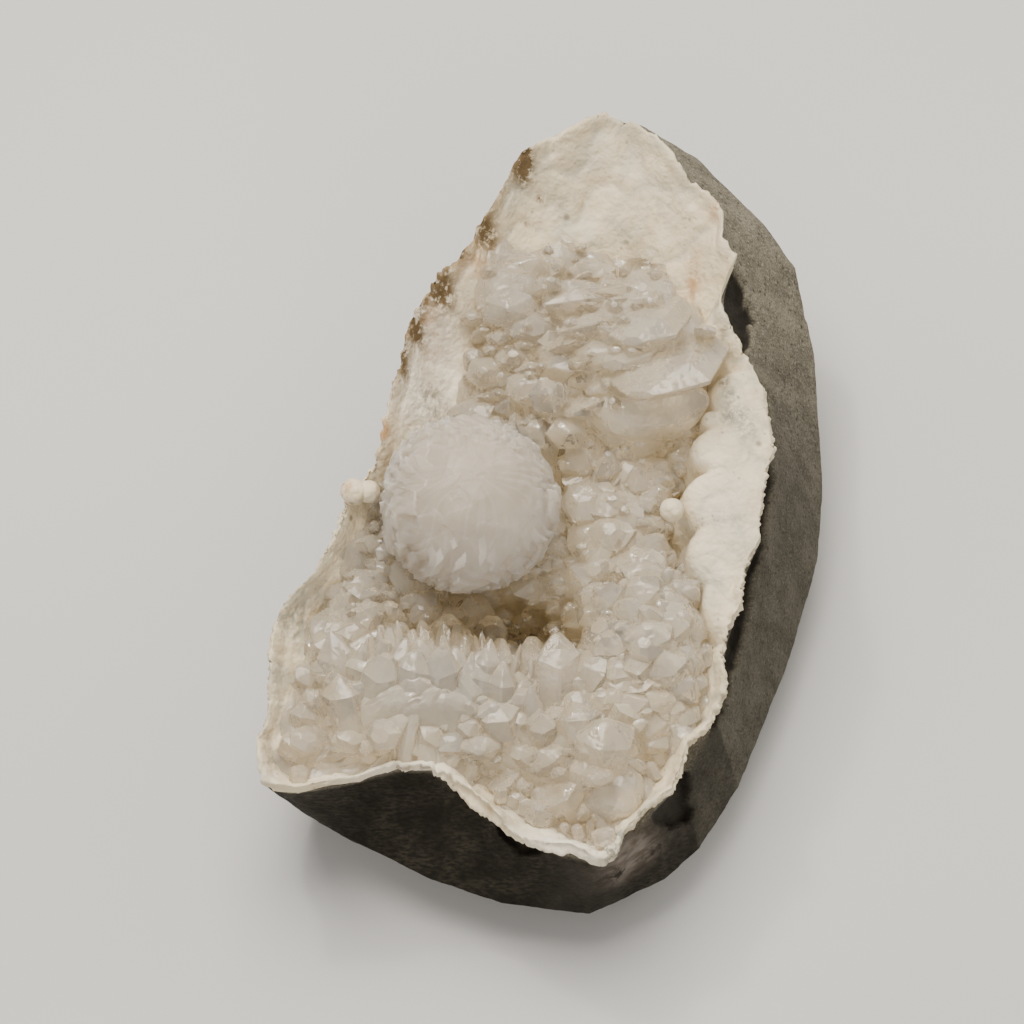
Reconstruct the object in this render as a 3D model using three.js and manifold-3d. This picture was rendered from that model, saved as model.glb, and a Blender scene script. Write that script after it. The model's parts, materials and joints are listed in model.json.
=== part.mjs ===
// A goosecreekite specimen: a milky ball of goosecreekite that sits on quartz crystals
// in a small pocket of grey basalt. A chalky white rind lines the pocket and shows as a rim.
// The stone lies on its flat sawn back with the pocket up, and the face leans towards -Y.
// Millimetres, +Z up. x runs across the face, y along it, and the outlines are seen from above.
import * as THREE from "three";
import { mergeVertices } from "three/addons/utils/BufferGeometryUtils.js";
import Module from "manifold-3d";

// Driving dimensions
const ORIGIN = { x: 0, y: 3.8 }; // the spot under the middle of the whole stone
const POLE = { x: 0, y: -5 }; // every outline is swept round this point
const FACE_HEIGHT = 28; // the broken face above the base, at y = 0
const FACE_SLOPE = Math.tan(THREE.MathUtils.degToRad(12)); // the face rises to the far end
const GAP = 0.35; // clearance between pieces that touch

const POCKET = { depth: 12, power: 3 }; // bowl of the rind below the rim
const PITS = [
  { x: -0.5, y: -11, reach: 6, depth: 3.5 }, // deepest spot, beside the ball
  { x: -13, y: 2.5, reach: 6, depth: 1.8 }, // hollow under the ball
];
const RIND = { edge: 1.7, middle: 3.2, ripple: 0.35 }; // rind thickness, and its soft folds
const CRUST = { edge: 1.1, taper: 2.6, floor: -7.5 }; // quartz at its border, and its low level
const BALL = { x: -8.1, y: 0.1, level: 1.2, radius: 9.7 }; // level is against the face

// The outer edge of the white rim, counter-clockwise from the far tip
const RIM = [
  [6.9, 44.9], [4.7, 44.2], [2.4, 43.1], [0.2, 41.7], [-2.0, 40.6], [-3.1, 39.4], [-4.2, 37.2],
  [-5.9, 34.4], [-7.2, 32.4], [-8.1, 30.0], [-10.9, 27.6], [-13.1, 24.4], [-14.8, 21.1],
  [-16.4, 15.6], [-17.6, 11.1], [-18.3, 7.0], [-20.1, 3.6], [-22.0, 1.1], [-22.6, -1.1],
  [-23.7, -3.9], [-25.0, -6.1], [-27.0, -8.0], [-28.7, -10.0], [-29.8, -12.2], [-30.3, -15.6],
  [-30.1, -18.9], [-30.3, -21.7], [-31.7, -25.6], [-31.2, -30.0], [-30.0, -30.8], [-27.3, -30.6],
  [-22.6, -30.0], [-19.8, -29.1], [-15.9, -28.3], [-12.6, -28.3], [-10.9, -29.1], [-8.1, -31.1],
  [-5.9, -33.1], [-3.1, -35.6], [0.2, -37.2], [3.6, -38.0], [6.3, -38.7], [8.2, -37.8],
  [9.1, -35.4], [10.8, -33.9], [14.1, -31.1], [15.0, -29.4], [15.8, -26.1], [18.6, -23.3],
  [20.4, -20.0], [19.9, -16.7], [20.4, -13.3], [22.1, -10.0], [22.8, -5.6], [24.1, -3.3],
  [24.3, 0.0], [24.7, 3.9], [25.8, 6.7], [25.4, 10.0], [24.7, 13.9], [23.0, 17.2], [21.3, 20.6],
  [19.9, 23.3], [20.0, 25.0], [21.7, 28.9], [20.1, 30.6], [20.2, 33.9], [19.1, 35.6],
  [16.3, 37.8], [13.9, 41.1], [10.8, 43.9],
];

// The border where the quartz begins on the rind
const QUARTZ_BORDER = [
  [5.2, 33.0], [-1.4, 32.8], [-6.1, 30.9], [-7.0, 27.8], [-7.2, 23.3], [-8.7, 19.4],
  [-9.8, 15.6], [-9.6, 12.0], [-12.6, 9.4], [-17.6, 5.6], [-18.6, 2.2], [-20.9, -1.1],
  [-22.0, -3.9], [-23.7, -7.8], [-25.6, -12.2], [-27.6, -16.7], [-28.7, -21.1], [-29.6, -24.4],
  [-29.4, -28.3], [-27.6, -29.6], [-23.7, -28.9], [-18.1, -27.8], [-12.6, -27.2], [-8.1, -29.1],
  [-3.7, -32.4], [1.9, -35.4], [6.3, -37.6], [7.9, -36.2], [10.0, -32.8], [12.2, -30.2],
  [13.4, -27.0], [16.3, -24.2], [18.6, -20.0], [18.4, -14.4], [19.2, -10.0], [18.0, -6.1],
  [15.4, -2.8], [14.3, 0.6], [15.7, 3.3], [16.3, 6.7], [18.0, 9.4], [18.8, 13.9], [17.7, 20.0],
  [16.3, 24.4], [13.6, 30.0], [10.8, 31.7],
];

// The top edge of the basalt under the rim
const SHOULDER = [
  [7.0, 43.6], [3.0, 42.2], [-1.4, 39.6], [-3.7, 36.5], [-6.8, 31.0], [-10.3, 26.5],
  [-13.7, 21.5], [-15.7, 15.5], [-16.8, 10.0], [-19.0, 4.4], [-21.2, 0.0], [-23.1, -5.0],
  [-27.0, -10.0], [-29.2, -14.4], [-29.5, -20.0], [-30.8, -25.6], [-30.4, -29.6], [-28.0, -30.3],
  [-22.6, -29.7], [-15.9, -28.0], [-12.6, -28.0], [-8.1, -30.8], [-3.1, -35.2], [1.9, -37.3],
  [5.9, -38.3], [8.3, -37.6], [12.4, -33.4], [16.3, -27.8], [19.4, -22.2], [20.8, -15.6],
  [22.4, -8.9], [24.3, -2.2], [25.4, 5.6], [24.8, 12.2], [22.8, 18.9], [21.3, 24.4],
  [20.5, 31.1], [17.4, 36.4], [14.3, 40.2], [10.8, 43.1],
];

// Corners of the widest belt of the basalt, each with its height above the base
const BELT = [
  [10.8, 47.6, 30], [1.0, 43.0, 28], [-5.0, 36.0, 23], [-10.5, 28.0, 19], [-15.0, 20.0, 16],
  [-17.5, 10.0, 14], [-21.5, 1.0, 13], [-26.0, -8.0, 12], [-29.0, -17.0, 12], [-30.9, -26.5, 12],
  [-23.7, -29.6, 7.5], [-12.6, -35.5, 7], [-4.8, -38.4, 7], [5.2, -39.8, 7], [13.6, -35.5, 7],
  [17.4, -31.8, 7], [21.9, -24.2, 7], [27.4, -9.5, 7], [31.0, 3.2, 7.5], [31.7, 12.0, 9],
  [30.8, 27.0, 13], [28.6, 36.0, 17], [25.2, 39.8, 20], [17.4, 45.8, 25],
];

// The flat sawn back that the stone rests on
const BASE = [
  [8.0, 37.5], [0.0, 35.5], [-6.0, 29.0], [-11.0, 20.0], [-14.0, 10.0], [-18.0, 0.0],
  [-22.5, -9.0], [-25.0, -18.0], [-25.5, -24.0], [-20.0, -27.5], [-10.0, -32.0], [-3.0, -34.5],
  [4.5, -35.5], [12.0, -32.0], [16.0, -26.5], [22.5, -9.0], [26.0, 3.0], [27.0, 12.0],
  [25.5, 25.0], [23.0, 32.5], [17.0, 36.5],
];
const FOOT = { height: 2.2, flare: 1.06 }; // the short bevel above the sawn back

// Banks and hollows of the quartz against its low level: x, y, reach in x and y, height
const BANKS = [
  [-13.5, -22.5, 13, 6.5, 9.0], // near bank, level with the rim
  [4.0, -27.5, 7, 7.5, 7.0],
  [-23.5, -11.0, 5, 10, 5.5], // left bank
  [12.0, -14.5, 7, 9.5, 8.5], // right bank
  [9.0, 0.5, 6, 4.5, 3.0],
  [11.0, 20.5, 8.5, 7, 7.5], // tall crystals at the upper right
  [-2.5, 23.5, 6.5, 7, 5.0],
  [0.0, 13.0, 5, 5, 3.5],
  [-0.5, -10.5, 5.5, 4, -6.0], // the dark pit beside the ball
];

// Single crystals that stand out. Place on the quartz, the way each points, half its width
// and half its thickness, its length, and the share of the length that is the pointed end.
const TALL_CRYSTALS = [
  { at: [1.4, -20.8], points: [0.02, 0.78, 0.62], half: [2.7, 2.4], length: 8.2, tip: 0.42 },
  { at: [-6.6, -20.6], points: [0.12, 0.74, 0.66], half: [1.7, 1.5], length: 7.0, tip: 0.4 },
  { at: [-10.6, -14.6], points: [0.02, 0.5, 0.86], half: [2.9, 2.6], length: 6.4, tip: 0.55 },
  { at: [-17.0, -15.0], points: [0.25, 0.45, 0.85], half: [2.2, 2.0], length: 5.4, tip: 0.5 },
  { at: [-13.2, -19.6], points: [-0.1, 0.66, 0.74], half: [2.0, 1.9], length: 5.8, tip: 0.45 },
  { at: [-21.5, -23.0], points: [-0.2, 0.55, 0.8], half: [2.4, 2.2], length: 5.4, tip: 0.4 },
  { at: [0.2, 13.4], points: [0.1, -0.28, 0.95], half: [2.2, 2.0], length: 5.8, tip: 0.3 },
  { at: [1.9, 10.6], points: [0.25, -0.4, 0.88], half: [2.4, 1.9], length: 5.0, tip: 0.35 },
  { at: [-3.9, 24.0], points: [0.05, -0.5, 0.86], half: [3.0, 2.4], length: 5.2, tip: 0.35 },
  { at: [-6.2, 17.4], points: [-0.1, -0.3, 0.95], half: [2.1, 1.9], length: 4.6, tip: 0.4 },
  { at: [8.6, 25.0], points: [-0.82, -0.32, 0.48], half: [2.7, 1.7], length: 10.5, tip: 0.35 },
  { at: [9.8, 21.6], points: [-0.86, -0.36, 0.36], half: [2.4, 1.5], length: 9.6, tip: 0.4 },
  { at: [12.6, 22.0], points: [-0.3, -0.68, 0.66], half: [4.4, 2.2], length: 9.0, tip: 0.35 },
  { at: [14.4, 18.4], points: [-0.34, -0.76, 0.55], half: [7.0, 2.5], length: 11.0, tip: 0.5 },
  { at: [7.3, 5.8], points: [0.0, 0.3, 0.95], half: [1.7, 1.6], length: 5.2, tip: 0.5 },
  { at: [11.0, 3.6], points: [-0.15, 0.4, 0.9], half: [1.6, 1.5], length: 4.8, tip: 0.45 },
  { at: [5.6, -6.0], points: [-0.5, 0.1, 0.86], half: [2.2, 2.0], length: 5.0, tip: 0.45 },
  { at: [6.6, -27.6], points: [0.08, 0.4, 0.91], half: [3.4, 3.0], length: 5.6, tip: 0.45 },
  { at: [14.0, -18.6], points: [-0.25, 0.35, 0.9], half: [2.6, 2.4], length: 4.8, tip: 0.45 },
];

// Crystals that fill the crust, placed on a sunflower spiral
const FILL = { count: 38, reach: 0.93, half: 1.9, spread: 1.5, length: 4.0, bury: 1.2 };

// White knobs on the rind: x, y, level against the face, radius
const KNOBS = [
  [18.9, 6.3, -0.6, 2.9], [20.6, 3.0, -1.2, 4.3], [17.9, 0.9, -0.9, 2.7], [20.0, -2.6, -1.3, 3.7],
  [16.9, 9.3, -0.4, 1.0], [21.6, 8.6, -1.0, 2.6], [19.4, -5.6, -1.8, 2.6],
  [14.3, -0.1, 0.2, 1.35], // the loose-looking pearl
  [-21.0, 1.9, 0.3, 1.5], [-19.4, 2.0, 0.1, 1.3], // the twin pearls on the left edge
];

const RIND_SHARES = [0.35, 0.6, 0.78, 0.9, 1]; // rings of the rind's top, from pole to rim
const GOLDEN_ANGLE = Math.PI * (3 - Math.sqrt(5));
const UNDER = -4; // how far below the base a cutting block reaches

// Outlines and heights

/** A repeatable value from 0 to 1 for a whole number. */
function chance(n) {
  const s = Math.sin(n * 127.1 + 31.7) * 43758.5453;
  return s - Math.floor(s);
}

/** Angle of a point round the pole, from 0 to a full turn. */
function angleOf(x, y) {
  const a = Math.atan2(y - POLE.y, x - POLE.x);
  return a < 0 ? a + 2 * Math.PI : a;
}

/** An outline's corners sorted by their angle round the pole. */
function sweep(outline) {
  return outline
    .map(([x, y, z = 0]) => ({ angle: angleOf(x, y), x: x - POLE.x, y: y - POLE.y, z }))
    .sort((a, b) => a.angle - b.angle);
}

/** Where the ray at an angle crosses a swept outline: its distance from the pole and height. */
function crossing(corners, angle) {
  let next = corners.findIndex((c) => c.angle > angle);
  if (next < 0) next = 0;
  const b = corners[next];
  const a = corners[(next + corners.length - 1) % corners.length];
  const ray = { x: Math.cos(angle), y: Math.sin(angle) };
  const edge = { x: b.x - a.x, y: b.y - a.y };
  const cross = ray.x * edge.y - ray.y * edge.x;
  const radius = (a.x * edge.y - a.y * edge.x) / cross;
  const share = (a.x * ray.y - a.y * ray.x) / cross;
  return { radius, z: a.z + share * (b.z - a.z) };
}

const rim = sweep(RIM);
const quartzBorder = sweep(QUARTZ_BORDER);
const shoulder = sweep(SHOULDER);
const belt = sweep(BELT);
const base = sweep(BASE);

/** The point at a share of the way from the pole to a swept outline. */
function planPoint(corners, angle, share) {
  const r = crossing(corners, angle).radius * share;
  return [POLE.x + r * Math.cos(angle), POLE.y + r * Math.sin(angle)];
}

/** Height of the plane that the broken face lies in. */
function faceHeight(y) {
  return FACE_HEIGHT + FACE_SLOPE * y;
}

/** Top of the rind: a bowl below the face plane, with two pits and soft folds. */
function rindTop(x, y) {
  const angle = angleOf(x, y);
  const share = Math.hypot(x - POLE.x, y - POLE.y) / crossing(rim, angle).radius;
  const bowl = POCKET.depth * (1 - Math.min(share, 1) ** POCKET.power);
  const pits = PITS.reduce(
    (sum, pit) => sum + pit.depth * Math.exp(-((Math.hypot(x - pit.x, y - pit.y) / pit.reach) ** 2)),
    0,
  );
  const folds = RIND.ripple * (Math.sin(0.9 * x + 0.5 * y) + Math.sin(0.62 * y - 0.35 * x + 1.3));
  return faceHeight(y) - bowl - pits + folds;
}

/** Underside of the rind, which the basalt follows. */
function rindBottom(x, y, share) {
  return rindTop(x, y) - RIND.edge - (RIND.middle - RIND.edge) * (1 - share * share);
}

/** Top of the quartz without its crystals: banks and hollows that thin out to the border. */
function quartzTop(x, y) {
  const border = crossing(quartzBorder, angleOf(x, y)).radius;
  const inside = Math.max(border - Math.hypot(x - POLE.x, y - POLE.y), 0);
  const rise = 1 - Math.exp(-((inside / CRUST.taper) ** 2));
  const level = BANKS.reduce(
    (sum, [cx, cy, rx, ry, h]) => sum + h * Math.exp(-(((x - cx) / rx) ** 2 + ((y - cy) / ry) ** 2)),
    CRUST.floor,
  );
  const thin = rindTop(x, y) + CRUST.edge;
  return thin + rise * Math.max(faceHeight(y) + level - thin, 0.6);
}

/** The direction that the quartz surface faces. */
function quartzNormal(x, y) {
  const step = 1.2;
  const dx = (quartzTop(x + step, y) - quartzTop(x - step, y)) / (2 * step);
  const dy = (quartzTop(x, y + step) - quartzTop(x, y - step)) / (2 * step);
  return new THREE.Vector3(-dx, -dy, 1).normalize();
}

// Solids

const wasm = await Module();
wasm.setup();

/** A three.js geometry as a manifold-3d solid. */
function toSolid(geometry) {
  const bare = geometry.clone();
  bare.deleteAttribute("normal");
  bare.deleteAttribute("uv");
  const merged = mergeVertices(bare, 1e-4);
  return new wasm.Manifold(
    new wasm.Mesh({
      numProp: 3,
      vertProperties: new Float32Array(merged.attributes.position.array),
      triVerts: new Uint32Array(merged.index.array),
    }),
  );
}

/** A manifold-3d solid as a three.js geometry. */
function toGeometry(solid) {
  const mesh = solid.getMesh();
  const geometry = new THREE.BufferGeometry();
  geometry.setAttribute("position", new THREE.BufferAttribute(mesh.vertProperties, 3));
  geometry.setIndex(new THREE.BufferAttribute(mesh.triVerts, 1));
  return geometry;
}

/** The largest of the bodies that a solid falls into. */
function largestBody(solid) {
  return solid.decompose().sort((a, b) => b.volume() - a.volume())[0];
}

/** Distance between two points. */
function apart(a, b) {
  return Math.hypot(a[0] - b[0], a[1] - b[1], a[2] - b[2]);
}

/**
 * A closed skin through rings of points. It runs from a top point outwards over the rings,
 * round the rim, down and back inwards to a bottom point.
 */
function loft(top, rings, bottom) {
  const around = rings[0].length;
  const points = [top, ...rings.flat(), bottom];
  const at = (ring, i) => 1 + ring * around + (i % around);
  const faces = [];
  for (let i = 0; i < around; i += 1) {
    faces.push(0, at(0, i), at(0, i + 1));
    for (let ring = 0; ring + 1 < rings.length; ring += 1) {
      const [a, b] = [at(ring, i), at(ring + 1, i)];
      const [d, c] = [at(ring, i + 1), at(ring + 1, i + 1)];
      const shortest = apart(points[a], points[c]) < apart(points[b], points[d]);
      faces.push(...(shortest ? [a, b, c, a, c, d] : [a, b, d, b, c, d]));
    }
    faces.push(points.length - 1, at(rings.length - 1, i + 1), at(rings.length - 1, i));
  }
  const geometry = new THREE.BufferGeometry();
  geometry.setAttribute("position", new THREE.Float32BufferAttribute(points.flat(), 3));
  geometry.setIndex(faces);
  return geometry;
}

/** Angles for the rings: every corner of the rim and of the belt, with close ones left out. */
function ringAngles(closest) {
  const angles = [...rim, ...belt].map((c) => c.angle).sort((a, b) => a - b);
  return angles.filter((a, i) => i === 0 || a - angles[i - 1] > closest);
}

const ANGLES = ringAngles(0.03);

/** Equal steps round the pole. */
function evenAngles(count) {
  return Array.from({ length: count }, (_, i) => (i / count) * 2 * Math.PI + 0.01);
}

/** A ring at a share of the way to an outline, at the height that a function gives. */
function ring(corners, share, heightAt, angles = ANGLES) {
  return angles.map((angle) => {
    const [x, y] = planPoint(corners, angle, share);
    return [x, y, heightAt(x, y, angle)];
  });
}

/** The grey basalt: the pocket that holds the rind, then sawn and broken sides and a flat back. */
function basaltMatrix() {
  const pocket = [0.3, 0.6, 0.82, 0.985].map((share) =>
    ring(rim, share, (x, y) => rindBottom(x, y, share) - GAP),
  );
  const shoulderRing = ring(shoulder, 1, (x, y) => faceHeight(y) - RIND.edge - 1.6);
  const beltRing = ring(belt, 1, (x, y, angle) => crossing(belt, angle).z);
  const footRing = ring(base, FOOT.flare, () => FOOT.height);
  const baseRing = ring(base, 1, () => 0);
  const deepest = [POLE.x, POLE.y, rindBottom(POLE.x, POLE.y, 0) - GAP];
  return loft(deepest, [...pocket, shoulderRing, beltRing, footRing, baseRing], [POLE.x, POLE.y, 0]);
}

/** The knobs that grew on the rind, each made larger by a margin. */
function knobs(margin) {
  const balls = KNOBS.map(([x, y, level, radius], i) =>
    toSolid(
      new THREE.IcosahedronGeometry(radius + margin, radius > 3 ? 2 : 1)
        .rotateZ(i)
        .translate(x, y, faceHeight(y) + level),
    ),
  );
  return wasm.Manifold.union(balls);
}

/** The white rind: a thin bowl with an exposed rim, and its knobs cut clear of the basalt. */
function whiteRind(basaltRoom) {
  const upper = RIND_SHARES.map((share) => ring(rim, share, rindTop));
  const lower = [0.985, 0.82, 0.6, 0.3].map((share) =>
    ring(rim, share, (x, y) => rindBottom(x, y, share)),
  );
  const bowl = loft(
    [POLE.x, POLE.y, rindTop(POLE.x, POLE.y)],
    [...upper, ...lower],
    [POLE.x, POLE.y, rindBottom(POLE.x, POLE.y, 0)],
  );
  return toSolid(bowl).add(knobs(0).subtract(basaltRoom));
}

/** Everything below the quartz: the top of the rind raised by the clearance, as a cutter. */
function underQuartz() {
  const clear = (x, y) => rindTop(x, y) + GAP;
  const upper = [...RIND_SHARES, 1.25].map((share) => ring(rim, share, clear));
  return toSolid(
    loft(
      [POLE.x, POLE.y, clear(POLE.x, POLE.y)],
      [...upper, ring(rim, 1.25, () => UNDER)],
      [POLE.x, POLE.y, UNDER],
    ),
  );
}

/** One six-sided crystal, its foot buried below the origin and its point cut off at blunt. */
function crystal([width, thickness], length, tip, bury, blunt, turn) {
  const end = blunt > 0 ? [[blunt, length]] : [];
  const profile = [[0, -bury], [0.92, -bury], [1, length * (1 - tip)], ...end, [0, length]].map(
    ([r, z]) => new THREE.Vector2(r, z),
  );
  return new THREE.LatheGeometry(profile, 6)
    .rotateX(Math.PI / 2)
    .rotateZ(turn)
    .scale(width, thickness, 1);
}

/** A crystal stood on the quartz at x and y, pointing along a direction. */
function standing(shape, x, y, points) {
  const turn = new THREE.Quaternion().setFromUnitVectors(new THREE.Vector3(0, 0, 1), points);
  return toSolid(shape.applyQuaternion(turn).translate(x, y, quartzTop(x, y)));
}

/** The crystals that stand out, one by one. */
function tallCrystals() {
  return TALL_CRYSTALS.map(({ at: [x, y], points, half, length, tip }, i) =>
    standing(
      crystal(half, length, tip, 2, 0.16, chance(i)),
      x,
      y,
      new THREE.Vector3(...points).normalize(),
    ),
  );
}

/** The crystals between them, leaning by chance and left out under the ball. */
function fillCrystals() {
  const made = [];
  for (let i = 0; i < FILL.count; i += 1) {
    const angle = (i * GOLDEN_ANGLE) % (2 * Math.PI);
    const [x, y] = planPoint(quartzBorder, angle, FILL.reach * Math.sqrt((i + 0.5) / FILL.count));
    if (Math.hypot(x - BALL.x, y - BALL.y) < BALL.radius * 0.8) continue;
    const points = quartzNormal(x, y);
    points.x += 0.5 * (chance(i + 200) - 0.5);
    points.y += 0.5 * (chance(i + 400) - 0.5) + 0.12;
    const half = FILL.half + FILL.spread * chance(i + 600);
    const length = FILL.length * (0.6 + 0.5 * chance(i + 800));
    const shape = crystal([half, half * 0.92], length, 0.5, FILL.bury, 0, chance(i) * Math.PI);
    made.push(standing(shape, x, y, points.normalize()));
  }
  return made;
}

/** The quartz crust: a lumpy sheet with every crystal fused to it. */
function quartzCrust() {
  const angles = evenAngles(40);
  const upper = [0.2, 0.4, 0.58, 0.75, 0.9, 1].map((share) =>
    ring(quartzBorder, share, quartzTop, angles),
  );
  const buried = (x, y) => rindTop(x, y) - 0.8;
  const sheet = loft(
    [POLE.x, POLE.y, quartzTop(POLE.x, POLE.y)],
    [...upper, ring(quartzBorder, 1, buried, angles), ring(quartzBorder, 0.5, buried, angles)],
    [POLE.x, POLE.y, buried(POLE.x, POLE.y)],
  );
  return wasm.Manifold.union([toSolid(sheet), ...tallCrystals(), ...fillCrystals()]);
}

/** The direction of one of many points spread evenly over a ball. */
function spreadDirection(i, count) {
  const z = 1 - (2 * i + 1) / count;
  const r = Math.sqrt(1 - z * z);
  return new THREE.Vector3(r * Math.cos(i * GOLDEN_ANGLE), r * Math.sin(i * GOLDEN_ANGLE), z);
}

/** The ball: blunt ends of curved crystals, each a small tilted facet on a sphere. */
function goosecreekiteBall() {
  const ends = 130;
  const facets = Array.from({ length: ends }, (_, i) => {
    const seat = spreadDirection(i, ends);
    const lean = new THREE.Vector3(chance(i) - 0.5, chance(i + 50) - 0.5, chance(i + 90) - 0.5);
    const faces = seat.clone().addScaledVector(lean, 0.36).normalize();
    return { seat, faces, reach: faces.dot(seat) * (1 + 0.035 * (chance(i + 300) - 0.5)) };
  });
  const geometry = new THREE.IcosahedronGeometry(1, 5);
  const position = geometry.attributes.position;
  const p = new THREE.Vector3();
  for (let i = 0; i < position.count; i += 1) {
    p.fromBufferAttribute(position, i).normalize();
    const own = facets.reduce((best, f) => (f.seat.dot(p) > best.seat.dot(p) ? f : best));
    p.multiplyScalar(BALL.radius * THREE.MathUtils.clamp(own.reach / own.faces.dot(p), 0.94, 1.05));
    position.setXYZ(i, p.x, p.y, p.z);
  }
  return geometry;
}

// The specimen

/** A named mesh with its own finish. */
function piece(name, geometry, color, roughness) {
  const mesh = new THREE.Mesh(geometry, new THREE.MeshStandardMaterial({ color, roughness, metalness: 0 }));
  mesh.name = name;
  return mesh;
}

const ballPlace = [BALL.x, BALL.y, faceHeight(BALL.y) + BALL.level];
const ballShape = goosecreekiteBall();
const ballRoom = toSolid(
  new THREE.IcosahedronGeometry(BALL.radius * 1.05 + GAP, 3).translate(...ballPlace),
);
const basaltShape = basaltMatrix();
const near = GAP * 0.85; // just short of the underside of the rind
const basaltRoom = wasm.Manifold.union(
  [[0, 0, near], [near, 0, 0], [-near, 0, 0]].map((move) => toSolid(basaltShape.clone().translate(...move))),
);
const rindSolid = whiteRind(basaltRoom);
const crustSolid = largestBody(
  quartzCrust().subtract(underQuartz()).subtract(ballRoom).subtract(knobs(GAP * 1.2)),
);

const specimen = new THREE.Group();
specimen.add(
  piece("basalt_matrix", basaltShape, 0x55534e, 0.85),
  piece("white_rind", toGeometry(largestBody(rindSolid)), 0xd9d2c2, 0.8),
  piece("quartz_crust", toGeometry(crustSolid), 0xc4baa6, 0.3),
);
const ball = piece("goosecreekite_ball", ballShape, 0xc9c6c4, 0.35);
ball.position.set(...ballPlace);
specimen.add(ball);
specimen.position.set(-ORIGIN.x, -ORIGIN.y, 0);

export default specimen;
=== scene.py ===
"""A goosecreekite specimen: a milky ball on quartz crystals in a white-lined pocket of basalt.

The fine surfaces are worked out here from the same outlines, banks, knobs and crystals as the
specimen's solids. Shapes are in millimetres, with the face of the stone seen from above, and are
moved to the solids' frame and to metres when a mesh is made.
"""
import json
import logging
import math
from collections.abc import Iterable, Sequence
from dataclasses import dataclass, field
from enum import Enum
from typing import Any

import bpy
import numpy as np
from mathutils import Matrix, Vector

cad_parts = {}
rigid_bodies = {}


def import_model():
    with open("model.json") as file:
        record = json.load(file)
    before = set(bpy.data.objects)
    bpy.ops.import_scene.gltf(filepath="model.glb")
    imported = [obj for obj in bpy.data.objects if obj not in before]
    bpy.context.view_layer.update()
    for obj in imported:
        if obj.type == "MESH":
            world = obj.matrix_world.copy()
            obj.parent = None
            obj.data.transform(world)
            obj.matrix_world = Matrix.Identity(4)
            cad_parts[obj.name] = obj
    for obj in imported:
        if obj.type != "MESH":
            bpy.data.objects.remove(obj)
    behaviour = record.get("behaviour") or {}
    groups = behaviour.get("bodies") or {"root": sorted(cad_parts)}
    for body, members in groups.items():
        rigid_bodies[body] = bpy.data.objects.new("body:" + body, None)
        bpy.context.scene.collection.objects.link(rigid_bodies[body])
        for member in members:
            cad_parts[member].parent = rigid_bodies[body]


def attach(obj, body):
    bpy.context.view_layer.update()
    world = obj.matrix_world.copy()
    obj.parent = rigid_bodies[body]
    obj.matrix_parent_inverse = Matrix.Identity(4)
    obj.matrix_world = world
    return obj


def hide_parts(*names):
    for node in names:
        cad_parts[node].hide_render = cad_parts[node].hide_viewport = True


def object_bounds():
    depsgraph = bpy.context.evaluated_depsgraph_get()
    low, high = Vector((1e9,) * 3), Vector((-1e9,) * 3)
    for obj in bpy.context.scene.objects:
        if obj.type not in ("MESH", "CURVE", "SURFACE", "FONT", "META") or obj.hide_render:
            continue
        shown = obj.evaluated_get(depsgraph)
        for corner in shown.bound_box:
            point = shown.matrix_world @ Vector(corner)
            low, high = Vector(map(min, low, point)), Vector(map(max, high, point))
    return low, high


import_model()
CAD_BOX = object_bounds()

MM = 0.001
TAU = 2 * math.pi
GOLDEN_ANGLE = math.pi * (3 - math.sqrt(5))
ORIGIN = np.array([0.0, 3.8, 0.0])  # the spot under the middle of the stone, in mm
POLE = np.array([0.0, -5.0])  # every outline is swept round this point
BALL_MIDDLE = np.array([-8.1, 0.1])
BALL_RADIUS = 9.7
FACE_HEIGHT = 28.0
FACE_SLOPE = math.tan(math.radians(12))
log = logging.getLogger("specimen")

RIM = [
    (6.9, 44.9), (4.7, 44.2), (2.4, 43.1), (0.2, 41.7), (-2.0, 40.6), (-3.1, 39.4), (-4.2, 37.2),
    (-5.9, 34.4), (-7.2, 32.4), (-8.1, 30.0), (-10.9, 27.6), (-13.1, 24.4), (-14.8, 21.1),
    (-16.4, 15.6), (-17.6, 11.1), (-18.3, 7.0), (-20.1, 3.6), (-22.0, 1.1), (-22.6, -1.1),
    (-23.7, -3.9), (-25.0, -6.1), (-27.0, -8.0), (-28.7, -10.0), (-29.8, -12.2), (-30.3, -15.6),
    (-30.1, -18.9), (-30.3, -21.7), (-31.7, -25.6), (-31.2, -30.0), (-30.0, -30.8), (-27.3, -30.6),
    (-22.6, -30.0), (-19.8, -29.1), (-15.9, -28.3), (-12.6, -28.3), (-10.9, -29.1), (-8.1, -31.1),
    (-5.9, -33.1), (-3.1, -35.6), (0.2, -37.2), (3.6, -38.0), (6.3, -38.7), (8.2, -37.8),
    (9.1, -35.4), (10.8, -33.9), (14.1, -31.1), (15.0, -29.4), (15.8, -26.1), (18.6, -23.3),
    (20.4, -20.0), (19.9, -16.7), (20.4, -13.3), (22.1, -10.0), (22.8, -5.6), (24.1, -3.3),
    (24.3, 0.0), (24.7, 3.9), (25.8, 6.7), (25.4, 10.0), (24.7, 13.9), (23.0, 17.2), (21.3, 20.6),
    (19.9, 23.3), (20.0, 25.0), (21.7, 28.9), (20.1, 30.6), (20.2, 33.9), (19.1, 35.6),
    (16.3, 37.8), (13.9, 41.1), (10.8, 43.9),
]
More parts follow.
